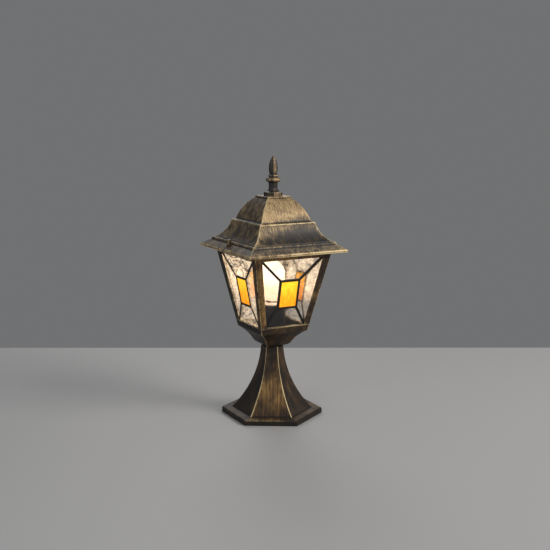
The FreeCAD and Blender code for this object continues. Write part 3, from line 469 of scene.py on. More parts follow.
def brushed_coat(finish, streak, fine, patch, wear_and_highlight, gilt_and_painted_light, coat):
    """Dark coat with dry-brushed gold: streaks show where brush, patch and gold add up, edges rub pale. The
    gold partly paints light and shade, and the pale rub is partly painted highlight.

    The brush's strokes count for less where there is little gold, so that the dark sides stay smooth.
    """
    stroke = finish.total(-0.65, (streak, 0.75), (fine, 0.55))
    strength = finish.sum("ADD", gilt_and_painted_light, 0.45, held=True)
    cover = finish.total(0.65, (patch, 0.35), (stroke, strength))
    cover = finish.sum("ADD", cover, gilt_and_painted_light)
    gold_share = finish.spread(cover, 0.9, 1.85, stop=0.92)
    brown_share = finish.spread(cover, 0.65, 1.35)
    # Pale rub on edges, partly real rub and partly painted highlight.
    pale_rub_and_highlight = finish.total(0.2, (streak, 0.5), (patch, 0.55))
    pale_rub_and_highlight = finish.sum("MULTIPLY", pale_rub_and_highlight, wear_and_highlight, held=True)
    pale_rub_and_highlight = finish.spread(pale_rub_and_highlight, 0.14, 0.85, stop=0.95)
    shine = finish.total(0.0, (streak, 0.3), (fine, 0.5), (patch, 0.2))
    brown, dim = coat["brown"], coat["dim"]
    # Over these heights the coat turns greyer: painted reflection on the roof's flange.
    if "sky_reflection_heights" in coat:
        z = finish.axes(finish.place())[2]
        low, full, fading, high = coat["sky_reflection_heights"]
        fade = finish.spread(z, fading, high, start=1.0, stop=0.0)
        grey = finish.sum("MULTIPLY", finish.spread(z, low, full), fade)
        brown = finish.blend(grey, brown, coat["sky_reflection_brown"])
        dim = finish.blend(grey, dim, coat["sky_reflection_dim"])
    gold = finish.blend(finish.spread(shine, 0.24, 0.76), dim, coat["bright"])
    colour = finish.blend(brown_share, coat["dark"], brown)
    colour = finish.blend(gold_share, colour, gold)
    metal = finish.sum("MAXIMUM", gold_share, pale_rub_and_highlight)
    relief = finish.total(fine, (streak, 0.5))
    return finish.set(
        Base_Color=finish.blend(pale_rub_and_highlight, colour, PALE_GOLD),
        Metallic=finish.sum("MULTIPLY", metal, 0.45),
        Roughness=finish.spread(fine, 0.2, 0.8, start=0.46, stop=0.62),
        Normal=finish.bump(relief, 0.25, BRUSH_DEPTH),
        Specular_IOR_Level=coat["sheen"],
    )


def brushed_casting(name, coat, streak_scale, fine_scale, patch_scale, margin):
    """Coat for the castings that carry a brushing map: streaks run up the outline."""
    finish = Finish(name)
    brush = finish.brush()
    streak = finish.noise(finish.scaled(brush, streak_scale), detail=4.0, roughness=0.65)
    fine = finish.noise(finish.scaled(brush, fine_scale))
    patch = finish.noise(finish.scaled(brush, patch_scale), distortion=0.4)
    streak = finish.spread(streak, margin, 1.0 - margin)
    fine = finish.spread(fine, margin, 1.0 - margin)
    patch = finish.spread(patch, 0.3, 0.7)
    return brushed_coat(finish, streak, fine, patch, finish.mark("wear_and_highlight"), finish.mark("gilt_and_painted_light"), coat)


def plain_metal(name, tone, rough):
    """Bare metal with fine tool marks."""
    finish = Finish(name)
    grain = finish.noise(finish.scaled(finish.place(), (900.0, 900.0, 2600.0)))
    dim_tone = tuple(part * 0.7 for part in tone) + (1.0,)
    colour = finish.blend(finish.spread(grain, 0.3, 0.7), dim_tone, tone + (1.0,))
    roughness = finish.spread(grain, 0.3, 0.7, start=rough * 0.8, stop=rough * 1.2)
    normal = finish.bump(grain, 0.12, 0.0001)
    return finish.set(Base_Color=colour, Metallic=1.0, Roughness=roughness, Normal=normal)


def moulded(name, tone, rough, sheen=0.5):
    """Moulded or fired surface: an even colour with a faint mottle and a fine pitted skin."""
    finish = Finish(name)
    mottle = finish.noise(finish.place(), scale=700.0)
    dim_tone = tuple(part * 0.86 for part in tone) + (1.0,)
    colour = finish.blend(finish.spread(mottle, 0.3, 0.7), dim_tone, tone + (1.0,))
    roughness = finish.spread(mottle, 0.3, 0.7, start=rough * 0.85, stop=rough * 1.15)
    normal = finish.bump(mottle, 0.15, 0.0001)
    return finish.set(Base_Color=colour, Roughness=roughness, Normal=normal, Specular_IOR_Level=sheen)


# Sizes of the lantern, in millimetres

RAIL_Z = 143.0
RAIL_HALF = 41.8
CAGE_HEIGHT = 133.0
CAGE_TOP_HALF = 69.2
CAGE_WALL = 2.0
SEAT_Z = RAIL_Z + CAGE_HEIGHT
LEAN = (CAGE_TOP_HALF - RAIL_HALF) / CAGE_HEIGHT
SLANT = math.hypot(1.0, LEAN)
TILT = math.atan(LEAN)
SILL_Z = 152.9
PANE_Z = 150.4
PANE_HEAD = 7.6
PANE_RISE = (SEAT_Z - PANE_HEAD - PANE_Z) * SLANT
PANE_GAP = 0.1
CAME_DEPTH = 3.6
CAME_WEB = 1.2
CORNER_GAP = 0.3
POST_FLARE = 2.7
SIDE_LAP = 3.6
OPENING_DROP = 0.6
GLASS_THICK = 2.4
GLASS_GAP = 0.1
TILE_HALF = 16.5
TILE_LOW = 35.2
TILE_HIGH = 80.6


def inner_half(z):
    """Half of the width between the cage's inner faces at a height."""
    return RAIL_HALF + LEAN * (z - RAIL_Z) - CAGE_WALL * SLANT


def pane_limit(z):
    """Half width at a height that leaves room for the neighbouring panes."""
    return inner_half(z) - (PANE_GAP + CAME_DEPTH) * SLANT - CORNER_GAP


PANE_LOW = pane_limit(PANE_Z)
PANE_HIGH = pane_limit(PANE_Z + PANE_RISE / SLANT) - POST_FLARE
PANE_SPREAD = (PANE_HIGH - PANE_LOW) / PANE_RISE

# Castings


def eased(value, low, high):
    """0 below low, 1 above high, and 3 t^2 - 2 t^3 between."""
    share = np.clip((value - low) / (high - low), 0.0, 1.0)
    return share * share * (3.0 - 2.0 * share)


def hump(value, middle, width):
    """1 at the middle, falling to both sides as exp(-((value - middle) / width)^2)."""
    return np.exp(-(((value - middle) / width) ** 2))


def by_side(*values):
    """One number for each side of a casting, counted from +X towards +Y, to spread over rows and places."""
    return np.array(values)[None, :, None]


ROOF_OUTLINE = [
    (86.1, 272.0, 0.2),
    (86.9, 272.8),
    (86.9, 275.8, 0.15),
    (86.1, 276.6),
    (73.7, 284.5, 0.3),
    (69.3, 288.3),
    (68.6, 287.5),
    (68.2, 289.0, -0.1),
    (49.4, 317.6),
    (44.2, 319.6, 0.078),
    (20.6, 355.2),
    (21.2, 355.2),
    (21.2, 357.2),
    (3.3, 357.2),
    (3.3, 353.2),
    (18.4, 353.2, -0.078),
    (41.4, 316.8),
    (46.6, 314.8, 0.1),
    (63.1, 285.7),
    (63.1, 276.0),
    (82.3, 276.0),
    (82.3, 272.0),
]
# Heights or half widths between which the roof's gold comes in
DOME_FADE = (311.0, 324.0)
DOME_FOOT = (318.6, 319.6)
DOME_TOP = (8.0, 16.0)
SKIRT_FADE = (290.0, 314.0)
FLANGE_FADE = (71.0, 75.0)
RIM_FADE = (84.0, 86.0)
ABOVE_BEAD = 295.0
RIM_FROM = 81.0
CROWN_WITHIN = 24.0
FLANGE_INNER = 73.0
DOME_EDGE = (40.0, 50.0)
# Gold beside the ridges, partly painted highlight.
ROOF_RIDGE_GOLD_AND_GLEAM = 6.0  # width of the gold beside the ridges
GOLD_CLIMB = 9.0  # how much higher the gold starts at one end of a side
CLIMB_PLACES = (-0.4, 0.6)


def roof_gold_and_painted_light(half, height, place, ridge):
    """Gold left on each side of the roof, most on the dome, one end of the rim and beside the ridges;
    partly painted light: the side turned away from the light carries far less, and the gold beside the
    ridges is partly painted highlight.
    """
    climb = GOLD_CLIMB * eased(place, *CLIMB_PLACES)
    dome = eased(height - climb, *DOME_FADE) * eased(height, *DOME_FOOT) * eased(half, *DOME_TOP)
    skirt = eased(height - climb, *SKIRT_FADE)
    flange = eased(half, *FLANGE_FADE)
    rim = eased(half, *RIM_FADE)
    level = 0.06 + 0.32 * skirt + 0.46 * dome + 0.3 * flange + 0.65 * rim
    level = level + (0.4 * rim - 0.1 * (1.0 - flange)) * place
    level = level + 0.5 * (1.0 - flange) * np.exp(-ridge / ROOF_RIDGE_GOLD_AND_GLEAM)
    # Side weights: the side turned away from the key light gets little gold, as painted shade.
    return level * by_side(0.85, 0.75, 0.3, 1.0) + by_side(0.0, 0.0, 0.2, 0.0) * (1.0 - dome)


def roof_rub_and_highlight(half, height, place):
    """Rub of the roof's edges, mostly stronger towards one end of the rim, and of its four ridges; partly
    real rub and partly painted highlight, weakest on the side turned away from the light.
    """
    edges = np.where(height > ABOVE_BEAD, by_side(1.0, 0.8, 0.55, 1.2), 0.35)
    rim = by_side(1.3, 1.3, 0.75, 1.3) + by_side(1.0, 1.0, -0.2, 1.0) * place
    edges = np.where(half > RIM_FROM, rim, edges)
    edges = np.where(half < CROWN_WITHIN, 0.2, edges)
    ridges = 1.0 - 0.45 * eased(half, FLANGE_INNER, RIM_FROM)
    return edges, ridges, 1.2 + 0.9 * eased(half, *DOME_EDGE)


roof_shell = faceted(
    "roof_shell",
    ROOF_OUTLINE,
    sides=4,
    corner_round=1.0,
    count=260,
    gold_and_painted_light=roof_gold_and_painted_light,
    edge_rub_and_highlight=roof_rub_and_highlight,
    soft=0.4,
)
roof_patina = brushed_casting("brushed patina", ROOF_COAT, **SHORT_STROKES)
dress(roof_shell, roof_patina, "roof_top", "roof")

PEDESTAL_OUTLINE = [
    (71.3, 0.0),
    (71.3, 7.8),
    (70.1, 9.0),
    (56.8, 9.0, -0.081),
    (15.8, 114.0),
    (5.3, 114.0),
    (5.3, 110.0),
    (12.3, 110.0, 0.081),
    (53.3, 6.4),
    (67.3, 6.4),
    (67.3, 0.0),
]
PLINTH_BELOW = 9.5
RUB_ABOVE = 6.0
PLINTH_EDGE = 70.0
FLARE_ABOVE = 9.7
NECK_Z = 100.0
PLINTH_ABOVE = 8.0
FLARE_GOLD = (44.0, 28.0)  # middle and width of a hump
NECK_GOLD = (66.0, 90.0)
FLARE_RIDGE_GOLD = 7.0
RIDGE_DIMS = (20.0, 90.0)
RIDGE_NARROWS = (40.0, 100.0)


def pedestal_gold_and_painted_shade(half, height, place, ridge):
    """Gold on each facet of the pedestal: most on one front facet, least on its left neighbour, the facet
    turned away from the light, as painted shade.
    """
    # Facet weights, partly painted shade: least gold on the facet turned away from the key light.
    facets = by_side(0.75, 0.5, 0.8, 0.1, 1.0, 0.3)
    level = (0.66 * hump(height, *FLARE_GOLD) + 0.08 * np.exp(-ridge / FLARE_RIDGE_GOLD)) * facets
    level = level - 0.08 + 0.12 * eased(height, *NECK_GOLD)
    plinth = np.where((half < PLINTH_EDGE) & (height > PLINTH_ABOVE), 0.16, -0.12)
    return np.where(height < PLINTH_BELOW, plinth, level)


def pedestal_rub_and_highlight(half, height, place):
    """Rub of the pedestal: bright ridges on two corners of the flare, only a touch on the plinth; partly
    real rub and partly painted highlight on the corners turned to the light.
    """
    corners = by_side(0.2, 0.6, 0.6, 0.2, 1.0, 1.0)
    corners = np.where(place > 0.0, np.roll(corners, -1, 1), corners)
    ridges = np.where(height > FLARE_ABOVE, 1.8 - 0.5 * eased(height, *RIDGE_DIMS), 0.2) * corners
    edges = by_side(0.4, 0.4, 0.4, 0.35, 0.45, 0.2)
    edges = edges * np.where(height > RUB_ABOVE, 1.0, 0.0) * np.where(height > NECK_Z, 0.4, 1.0)
    return edges, ridges, 0.85 - 0.35 * eased(height, *RIDGE_NARROWS)


pedestal_shell = faceted(
    "pedestal_shell",
    PEDESTAL_OUTLINE,
    sides=6,
    corner_round=0.9,
    count=200,
    gold_and_painted_light=pedestal_gold_and_painted_shade,
    edge_rub_and_highlight=pedestal_rub_and_highlight,
)
foot_patina = brushed_casting("foot patina", FOOT_COAT, **LONG_STROKES)
dress(pedestal_shell, foot_patina, "lamp", "pedestal")

CROWN_Z = 357.2
TIP_Z = 420.0
FINIAL_OUTLINE = [
    (0.0, CROWN_Z),
    (13.9, CROWN_Z),
    (13.9, CROWN_Z + 5.6),
    (13.0, CROWN_Z + 6.5),
    (9.9, CROWN_Z + 6.95, -0.16),
    (6.6, CROWN_Z + 15.5, -0.06),
    (7.5, CROWN_Z + 21.7, 0.16),
    (11.2, CROWN_Z + 25.3, 0.2),
    (6.7, CROWN_Z + 28.9),
    (6.7, CROWN_Z + 30.7, 0.2),
    (7.8, CROWN_Z + 31.9, 0.2),
    (6.7, CROWN_Z + 33.1, -0.1),
    (5.4, CROWN_Z + 35.0, 0.06),
    (6.4, CROWN_Z + 43.5, 0.08),
    (1.6, TIP_Z - 1.6),
    (0.8, TIP_Z),
    (0.0, TIP_Z),
]
# Painted highlight: a hump of gold all round the knop, above the crown.
KNOP_PAINTED_HIGHLIGHT = (26.2, 2.6)  # middle and width of a hump, above the crown
NECK_DARK = (14.5, 6.0)


def finial_gold_and_painted_light(half, height, place, ridge):
    """Gold on the finial's facets, partly painted light: more on those turned towards the light, least on
    those turned away; a painted highlight all round its knop, and less gold at its neck.
    """
    facets = by_side(0.3, 0.35, 0.2, -0.1, -0.45, 0.0, 0.48, -0.08)
    rise = height - CROWN_Z
    return facets + 0.6 * hump(rise, *KNOP_PAINTED_HIGHLIGHT) - 0.5 * hump(rise, *NECK_DARK)


def finial_rub_and_highlight(half, height, place):
    """Rub of the finial: the knop and base edges, and a little on its ridges; partly real rub and partly
    painted highlight.
    """
    return 0.5, 0.35, 1.1


finial_spike = faceted(
    "finial_spike",
    FINIAL_OUTLINE,
    sides=8,
    corner_round=0.5,
    count=170,
    gold_and_painted_light=finial_gold_and_painted_light,
    edge_rub_and_highlight=finial_rub_and_highlight,
    soft=0.3,
    poles=True,
)
finial_patina = brushed_casting("finial patina", FINIAL_COAT, **SHORT_STROKES)
dress(finial_spike, finial_patina, "roof_top", "finial")

CAGE_STREAKS = (620.0, 620.0, 26.0)
CAGE_FINE = (2100.0, 2100.0, 120.0)
CAGE_PATCHES = 42.0


def cage_coat():
    """Coat for the cage: streaks run up the posts; corners, openings, sill and rail rub pale, partly as
    painted highlight; faces turned away from the light carry less gold, as painted shade.
    """
    finish = Finish("cage patina")
    place = finish.place()
    x, y, z = finish.axes(place)
    wide = finish.sum("ABSOLUTE", x)
    deep = finish.sum("ABSOLUTE", y)
    out = finish.sum("MAXIMUM", wide, deep)
    across = finish.sum("MINIMUM", wide, deep)
    spread_up = PANE_SPREAD * SLANT
    opening_low = PANE_LOW - SIDE_LAP - spread_up * (PANE_Z - OPENING_DROP)
    opening = finish.total(opening_low * MM, (z, spread_up))
    side_edge = finish.line(across, opening, 0.2 * MM, 1.6 * MM, strength=0.4)
    above_sill = finish.spread(z, (SILL_Z - 0.4) * MM, (SILL_Z + 0.3) * MM)
    wear_and_highlight = finish.sum("MULTIPLY", side_edge, above_sill)
    ridge = finish.line(out, across, 0.3 * MM, 2.2 * MM, strength=0.6)
    sill = finish.line(z, SILL_Z * MM, 0.1 * MM, 0.9 * MM, strength=0.6)
    rail = finish.line(z, RAIL_Z * MM, 0.2 * MM, 1.3 * MM, strength=0.25)
    for rub in (ridge, sill, rail):
        wear_and_highlight = finish.sum("MAXIMUM", wear_and_highlight, rub)
    streak = finish.noise(finish.scaled(place, CAGE_STREAKS), detail=4.0)
    streak = finish.spread(streak, 0.28, 0.72)
    fine = finish.noise(finish.scaled(place, CAGE_FINE))
    fine = finish.spread(fine, 0.25, 0.75)
    patch = finish.spread(finish.noise(place, CAGE_PATCHES, roughness=0.55), 0.3, 0.7)
    # Faces turned to -X carry less gold: painted shade on the side away from the key light.
    left_faces_painted_shade = finish.spread(finish.sum("ADD", x, deep), -0.4 * MM, 0.4 * MM, start=1.0, stop=0.0)
    near_corner = finish.spread(finish.sum("ADD", x, y), -70.0 * MM, -20.0 * MM, start=0.6, stop=0.14)
    above_rail = finish.spread(z, (RAIL_Z + 3.0) * MM, (RAIL_Z + 27.0) * MM)
    gilt_and_painted_light = finish.total(0.02, (above_rail, near_corner), (left_faces_painted_shade, -0.45))
    return brushed_coat(finish, streak, fine, patch, wear_and_highlight, gilt_and_painted_light, FOOT_COAT)


cage_patina = cage_coat()
cage = eased_copy("lantern_cage", "cage_casting", width=0.45)
dress(cage, cage_patina, "lamp", "lantern_cage")

# Leaded panes

# Turn of each side in degrees, its weakest and strongest veil of bulb light, and the darkness of its
# painted crease shade
SIDES = (
    ("front", 0.0, {"dim": 0.0, "full": 0.08, "crease_shade": 0.45}),
    ("right", 90.0, {"dim": 0.14, "full": 0.5, "crease_shade": 0.6}),
    ("back", 180.0, {"dim": 0.12, "full": 0.36, "crease_shade": 0.6}),
    ("left", 270.0, {"dim": 0.28, "full": 0.38, "crease_shade": 1.0}),
)
CALM = {"clear_left": 0.45, "clear_right": 0.45, "clear_bottom": 0.7}  # cells with weaker creases
INNER_GLOW = 0.12  # share of an amber tile's glow on its inner face


def mirrored_quad(low_half, low, high_half, high):
    """Corners of a cell that is the same on both sides."""
    return [(low_half, low), (high_half, high), (-high_half, high), (-low_half, low)]


CELLS = {
    "amber": mirrored_quad(TILE_HALF, TILE_LOW, TILE_HALF, TILE_HIGH),
    "clear_bottom": mirrored_quad(PANE_LOW, 0.0, TILE_HALF, TILE_LOW),
    "clear_top": mirrored_quad(TILE_HALF, TILE_HIGH, PANE_HIGH, PANE_RISE),
    "clear_right": [
        (PANE_LOW, 0.0),
        (PANE_HIGH, PANE_RISE),
        (TILE_HALF, TILE_HIGH),
        (TILE_HALF, TILE_LOW),
    ],
    "clear_left": [
        (-PANE_LOW, 0.0),
        (-TILE_HALF, TILE_LOW),
        (-TILE_HALF, TILE_HIGH),
        (-PANE_HIGH, PANE_RISE),
    ],
}


def drawn_in(corners, inset):
    """Quad with each edge moved inwards: neighbouring moved lines are met again as two linear equations."""
    corners = np.array(corners, float)
    edge = np.roll(corners, -1, 0) - corners
    inward = np.stack([-edge[:, 1], edge[:, 0]], axis=1) / np.linalg.norm(edge, axis=1)[:, None]
    middle = corners.mean(0)
    inward *= np.sign(np.einsum("ij,ij->i", middle - corners, inward))[:, None]
    offset = np.einsum("ij,ij->i", corners, inward) + inset
    pair = np.stack([np.roll(inward, 1, 0), inward], axis=1)
    return np.linalg.solve(pair, np.stack([np.roll(offset, 1), offset], axis=1)[..., None])[..., 0]


def rolled_relief(u, v, wavelengths, seed, waves=26, squeeze=1.1):
    """Dents of rolled glass, 0 to 1.

    A sum of cosine waves of random heading, length and phase, squeezed by tanh.
    """
    draw = np.random.default_rng(seed)
    heading = draw.uniform(0.0, math.pi, waves)
    number = 2.0 * math.pi / draw.uniform(wavelengths[0], wavelengths[1], waves)
    phase = draw.uniform(0.0, 2.0 * math.pi, waves)
    travel = u[..., None] * np.cos(heading) + v[..., None] * np.sin(heading)
    swell = np.cos(travel * number + phase).sum(-1) / math.sqrt(waves / 2.0)
    return 0.5 + 0.5 * np.tanh(squeeze * swell)


GLASS_PITCH = 1.15  # grid of a glass piece
GLASS_INSET = CAME_WEB / 2.0 + GLASS_GAP
GLASS_OUTER = -PANE_GAP - (CAME_DEPTH - GLASS_THICK) / 2.0
GLASS_INNER = GLASS_OUTER - GLASS_THICK
CLEAR_DENTS = 0.2
AMBER_DENTS = 0.55
BROAD_WAVES = (9.0, 22.0)
FINE_WAVES = (3.2, 6.0)
FINE_SHARE = 0.12
FINE_SEED = 20
INNER_SEED = 50
SIDE_DEGREES = 5.0  # degrees of turn that shift the brushing map by a centimetre
INNER_SHARE = 0.35
CAME_FADE = 1.6  # distance from the came at which the dents have their full depth
GLOBE_Z = 228.0
NEAREST_GLASS = 54.0
DIRECT_RANGE = (0.1, 0.6)
VEIL_RISE = (184.0, 206.0)
EDGE_RISE = (185.0, 215.0)
EDGE_GLEAM = 0.55
EDGE_FADE = 2.6
AMBER_RISE = (3.8, 8.0)  # centimetres up the pane
PANE_AHEAD = np.array([0.0, -math.sin(TILT), math.cos(TILT)])
PANE_OUTWARD = np.array([0.0, -math.cos(TILT), -math.sin(TILT)])
PANE_FOOT = np.array([0.0, -inner_half(PANE_Z), PANE_Z])


def bulb_light(sheet, points, light):
    """How strongly the bulb lights each point of the front pane's glass.

    Cosine over distance squared, eased and fading below the bulb's tube, from the pane's dim to its
    full share, and a little more where light gathers along the pane's slanting edges.
    """
    to_bulb = np.array([0.0, 0.0, GLOBE_Z]) - points
    away = np.linalg.norm(to_bulb, axis=1)
    facing = -(to_bulb @ PANE_OUTWARD) / away
    direct = eased(facing * (NEAREST_GLASS / away) ** 2, *DIRECT_RANGE)
    direct = direct * eased(points[:, 2], *VEIL_RISE)
    beside = PANE_LOW + PANE_SPREAD * sheet[:, 1] - np.abs(sheet[:, 0])
    gathered = EDGE_GLEAM * np.exp(-beside / EDGE_FADE) * eased(points[:, 2], *EDGE_RISE)
    return light["dim"] + (light["full"] - light["dim"]) * direct + gathered


def glass_piece(name, corners, turn, depth, seed, light):
    """Slab of rolled glass between four corners of a leaning pane.

    A point of the sheet is the corners' bilinear mix at (a, b). The outer face is dented by depth
    times the relief, fading to nothing at the came; the inner face by about a third of it. The slab is
    laid in the front pane, lit there, and turned about the lamp's axis to its own side.
    """
    quad = drawn_in(corners, GLASS_INSET)
    sides = np.linalg.norm(np.roll(quad, -1, 0) - quad, axis=1)
    rows = int(max(sides[0], sides[2]) / GLASS_PITCH) + 2
    columns = int(max(sides[1], sides[3]) / GLASS_PITCH) + 2
    a, b = np.meshgrid(np.linspace(0.0, 1.0, rows), np.linspace(0.0, 1.0, columns), indexing="ij")
    low = quad[0] + (quad[1] - quad[0]) * a[..., None]
    high = quad[3] + (quad[2] - quad[3]) * a[..., None]
    flat = low + (high - low) * b[..., None]
    u, v = flat[..., 0], flat[..., 1]
    row_rim = np.minimum(a, 1.0 - a) * min(sides[0], sides[2])
    column_rim = np.minimum(b, 1.0 - b) * min(sides[1], sides[3])
    dented = depth * np.clip(np.minimum(row_rim, column_rim) / CAME_FADE, 0.0, 1.0)
    broad = rolled_relief(u, v, BROAD_WAVES, seed)
    fine = rolled_relief(u, v, FINE_WAVES, seed + FINE_SEED)
    outer = GLASS_OUTER - dented * ((1.0 - FINE_SHARE) * broad + FINE_SHARE * fine)
    inner = GLASS_INNER + dented * INNER_SHARE * rolled_relief(u, v, BROAD_WAVES, seed + INNER_SEED)
    sheet = np.concatenate([np.stack([u, v, w], axis=-1).reshape(-1, 3) for w in (outer, inner)])
    points = sheet @ np.stack([[1.0, 0.0, 0.0], PANE_AHEAD, PANE_OUTWARD]) + PANE_FOOT

    count = rows * columns
    face = strip_faces(rows, columns, False, False)
    number = np.arange(count).reshape(rows, columns)
    loop = np.concatenate([number[:-1, 0], number[-1, :-1], number[:0:-1, -1], number[0, :0:-1]])
    after = np.roll(loop, -1)
    band = np.stack([loop, after, after + count, loop + count], axis=1)
    faces = [face, face[:, ::-1] + count, band]
    uv_point = sheet[:, :2] / CM + np.array([turn / SIDE_DEGREES, 0.0])
    marks = {
        "lit": bulb_light(sheet, points, light),
        "crease_shade": np.full(len(points), light["crease_shade"]),
        "glow": np.repeat([1.0, INNER_GLOW], count),
    }
    sine, cosine = math.sin(math.radians(turn)), math.cos(math.radians(turn))
    spun = points @ np.array([[cosine, sine, 0.0], [-sine, cosine, 0.0], [0.0, 0.0, 1.0]])
    return put_mesh(name, spun, faces, [uv_point[part] for part in faces], marks)


def clear_sheet():
    """Clear rolled glass: a warm veil of the bulb's light, broken by wandering creases whose darkness is
    painted shade.
    """
    finish = Finish("clear rolled glass")
    brush = finish.brush()
    crease_shade = finish.scaled(brush, (0.55, 1.05, 1.0))
    crease_shade = finish.noise(crease_shade, detail=1.0, roughness=0.5, distortion=0.6)
    crease_shade = finish.line(crease_shade, 0.5, 0.008, 0.085, strength=1.0)
    crease_shade = finish.sum("MULTIPLY", crease_shade, finish.mark("crease_shade"))
    between = finish.sum("SUBTRACT", 1.0, crease_shade)
    cloud = finish.noise(brush, scale=1.1, distortion=0.5)
    cloud = finish.spread(cloud, 0.32, 0.68, start=0.35, stop=0.95)
    veil = finish.sum("MULTIPLY", finish.spread(between, 0.0, 1.0, start=0.06), cloud)
    veil = finish.sum("MULTIPLY", veil, finish.mark("lit"), held=True)
    return finish.set(
        # The creases darken the glass's tint: painted shade.
        Base_Color=finish.blend(between, (0.42, 0.40, 0.38, 1.0), (0.985, 0.985, 0.98, 1.0)),
        Roughness=0.12,
        IOR=1.34,
        Transmission_Weight=1.0,
        Emission_Color=finish.blend(veil, BLACK, (1.0, 0.72, 0.44, 1.0)),
        Emission_Strength=1.2,
    )


def amber_sheet():
    """Amber rolled glass, glowing from yellow at the top to orange below."""
    finish = Finish("amber rolled glass")
    brush = finish.brush()
    rise = finish.spread(finish.axes(brush)[1], *AMBER_RISE)
    swirl = finish.noise(finish.scaled(brush, (1.5, 0.9, 1.0)), detail=4.0, distortion=0.8)
    share = finish.sum("ADD", rise, finish.total(-1.0, (swirl, 2.0)), held=True)
    colour = finish.blend(share, (0.88, 0.33, 0.012, 1.0), (0.98, 0.61, 0.030, 1.0))
    return finish.set(
        Base_Color=colour,
        Roughness=0.28,
        IOR=1.5,
        Specular_IOR_Level=0.04,
        Transmission_Weight=0.15,
        Emission_Color=finish.blend(finish.mark("glow"), BLACK, colour),
        Emission_Strength=0.72,
    )


def came_black():
    """Blackened lead: nearly matt, with small dull scuffs."""
    finish = Finish("blackened came")
    scuff = finish.noise(finish.place(), scale=900.0)
    scuffed = finish.spread(scuff, 0.35, 0.75)
    colour = finish.blend(scuffed, (0.010, 0.009, 0.008, 1.0), (0.035, 0.030, 0.026, 1.0))
    rough = finish.spread(scuff, 0.3, 0.7, start=0.42, stop=0.62)
    normal = finish.bump(scuff, 0.2, 0.0002)
    return finish.set(Base_Color=colour, Metallic=0.4, Roughness=rough, Normal=normal)


clear_glass = clear_sheet()
amber_glass = amber_sheet()
came_metal = came_black()

for number, (side, turn, light) in enumerate(SIDES):
    for cell, corners in CELLS.items():
        name = f"{side}_{cell}_sheet"
        cell_light = dict(light, crease_shade=light["crease_shade"] * CALM.get(cell, 1.0))
        if cell == "amber":
            sheet = glass_piece(name, corners, turn, AMBER_DENTS, 100 * number, cell_light)
            dress(sheet, amber_glass, "lamp", f"{side}_{cell}")
        else:
            sheet = glass_piece(name, corners, turn, CLEAR_DENTS, number, cell_light)
            dress(sheet, clear_glass, "lamp", f"{side}_{cell}")
        sheet.visible_shadow = False
    lattice = eased_copy(f"{side}_came", f"{side}_lattice", width=0.5)
    dress(lattice, came_metal, "lamp", f"{side}_came")

# Bulb

BULB_Z = 155.8
QUARTER_BOW = (math.sqrt(2.0) - 1.0) / 2.0
TUBE_OUTLINE = [
    (0.0, BULB_Z + 34.4),
    (18.2, BULB_Z + 34.4),
    (19.0, BULB_Z + 35.2),
    (19.0, BULB_Z + 79.0, QUARTER_BOW),
    (0.0, BULB_Z + 98.0),
]
# A dark ring standing proud where collar meets tube: painted shadow of the groove at the seam.
SEAM_SHADOW_OUTLINE = [
    (0.0, BULB_Z + 32.2),
    (18.4, BULB_Z + 32.2),
    (18.4, BULB_Z + 34.8),
    (0.0, BULB_Z + 34.8),
]
COLLAR_OUTLINE = [
    (0.0, BULB_Z + 27.5),
    (17.0, BULB_Z + 27.5),
    (18.0, BULB_Z + 28.5),
    (18.0, BULB_Z + 32.6),
    (0.0, BULB_Z + 32.6),
]
CAP_OUTLINE = [
    (0.0, BULB_Z),
    (4.8, BULB_Z),
    (4.8, BULB_Z + 1.2),
    (9.8, BULB_Z + 4.0),
    (12.5, BULB_Z + 5.2),
    (12.5, BULB_Z + 28.0),
    (0.0, BULB_Z + 28.0),
]
THREAD_PITCH = 3.6
THREAD_DEPTH = 0.55
THREAD_FROM = 11.8
THREAD_FULL = 12.4
THREAD_TOP = BULB_Z + 22.5
THREAD_RUNOUT = 1.5
TUBE_DIM_Z = 192.0
TUBE_BRIGHT_Z = 236.0


def rolled_thread(radius, height, angle):
    """Rolled screw thread: a wave that climbs one pitch a turn, only on the cap's straight side."""
    phase = 2.0 * math.pi * (height - BULB_Z) / THREAD_PITCH - angle
    straight = np.clip((radius - THREAD_FROM) / (THREAD_FULL - THREAD_FROM), 0.0, 1.0)
    below_top = np.clip((THREAD_TOP - height) / THREAD_RUNOUT, 0.0, 1.0)
    return straight * below_top * THREAD_DEPTH * np.cos(phase)


def lit_bulb():
    """Opal tube, lit warm white, dimmer towards its collar."""
    finish = Finish("lit opal glass")
    z = finish.axes(finish.place())[2]
    rise = finish.spread(z, TUBE_DIM_Z * MM, TUBE_BRIGHT_Z * MM)
    rise = finish.sum("MULTIPLY", rise, rise)
    glow = finish.blend(rise, (0.40, 0.24, 0.13, 1.0), (1.0, 0.79, 0.54, 1.0))
    return finish.set(
        Base_Color=(0.9, 0.88, 0.82, 1.0), Roughness=0.2, Emission_Color=glow, Emission_Strength=1.85
    )


def lit_collar():
    """Cream collar, lit through from the tube above it."""
    finish = Finish("lit collar")
    mottle = finish.noise(finish.place(), scale=260.0)
    glow = finish.blend(mottle, (1.0, 0.60, 0.36, 1.0), (1.0, 0.74, 0.50, 1.0))
    return finish.set(
        Base_Color=(0.86, 0.80, 0.70, 1.0), Roughness=0.4, Emission_Color=glow, Emission_Strength=0.7
    )


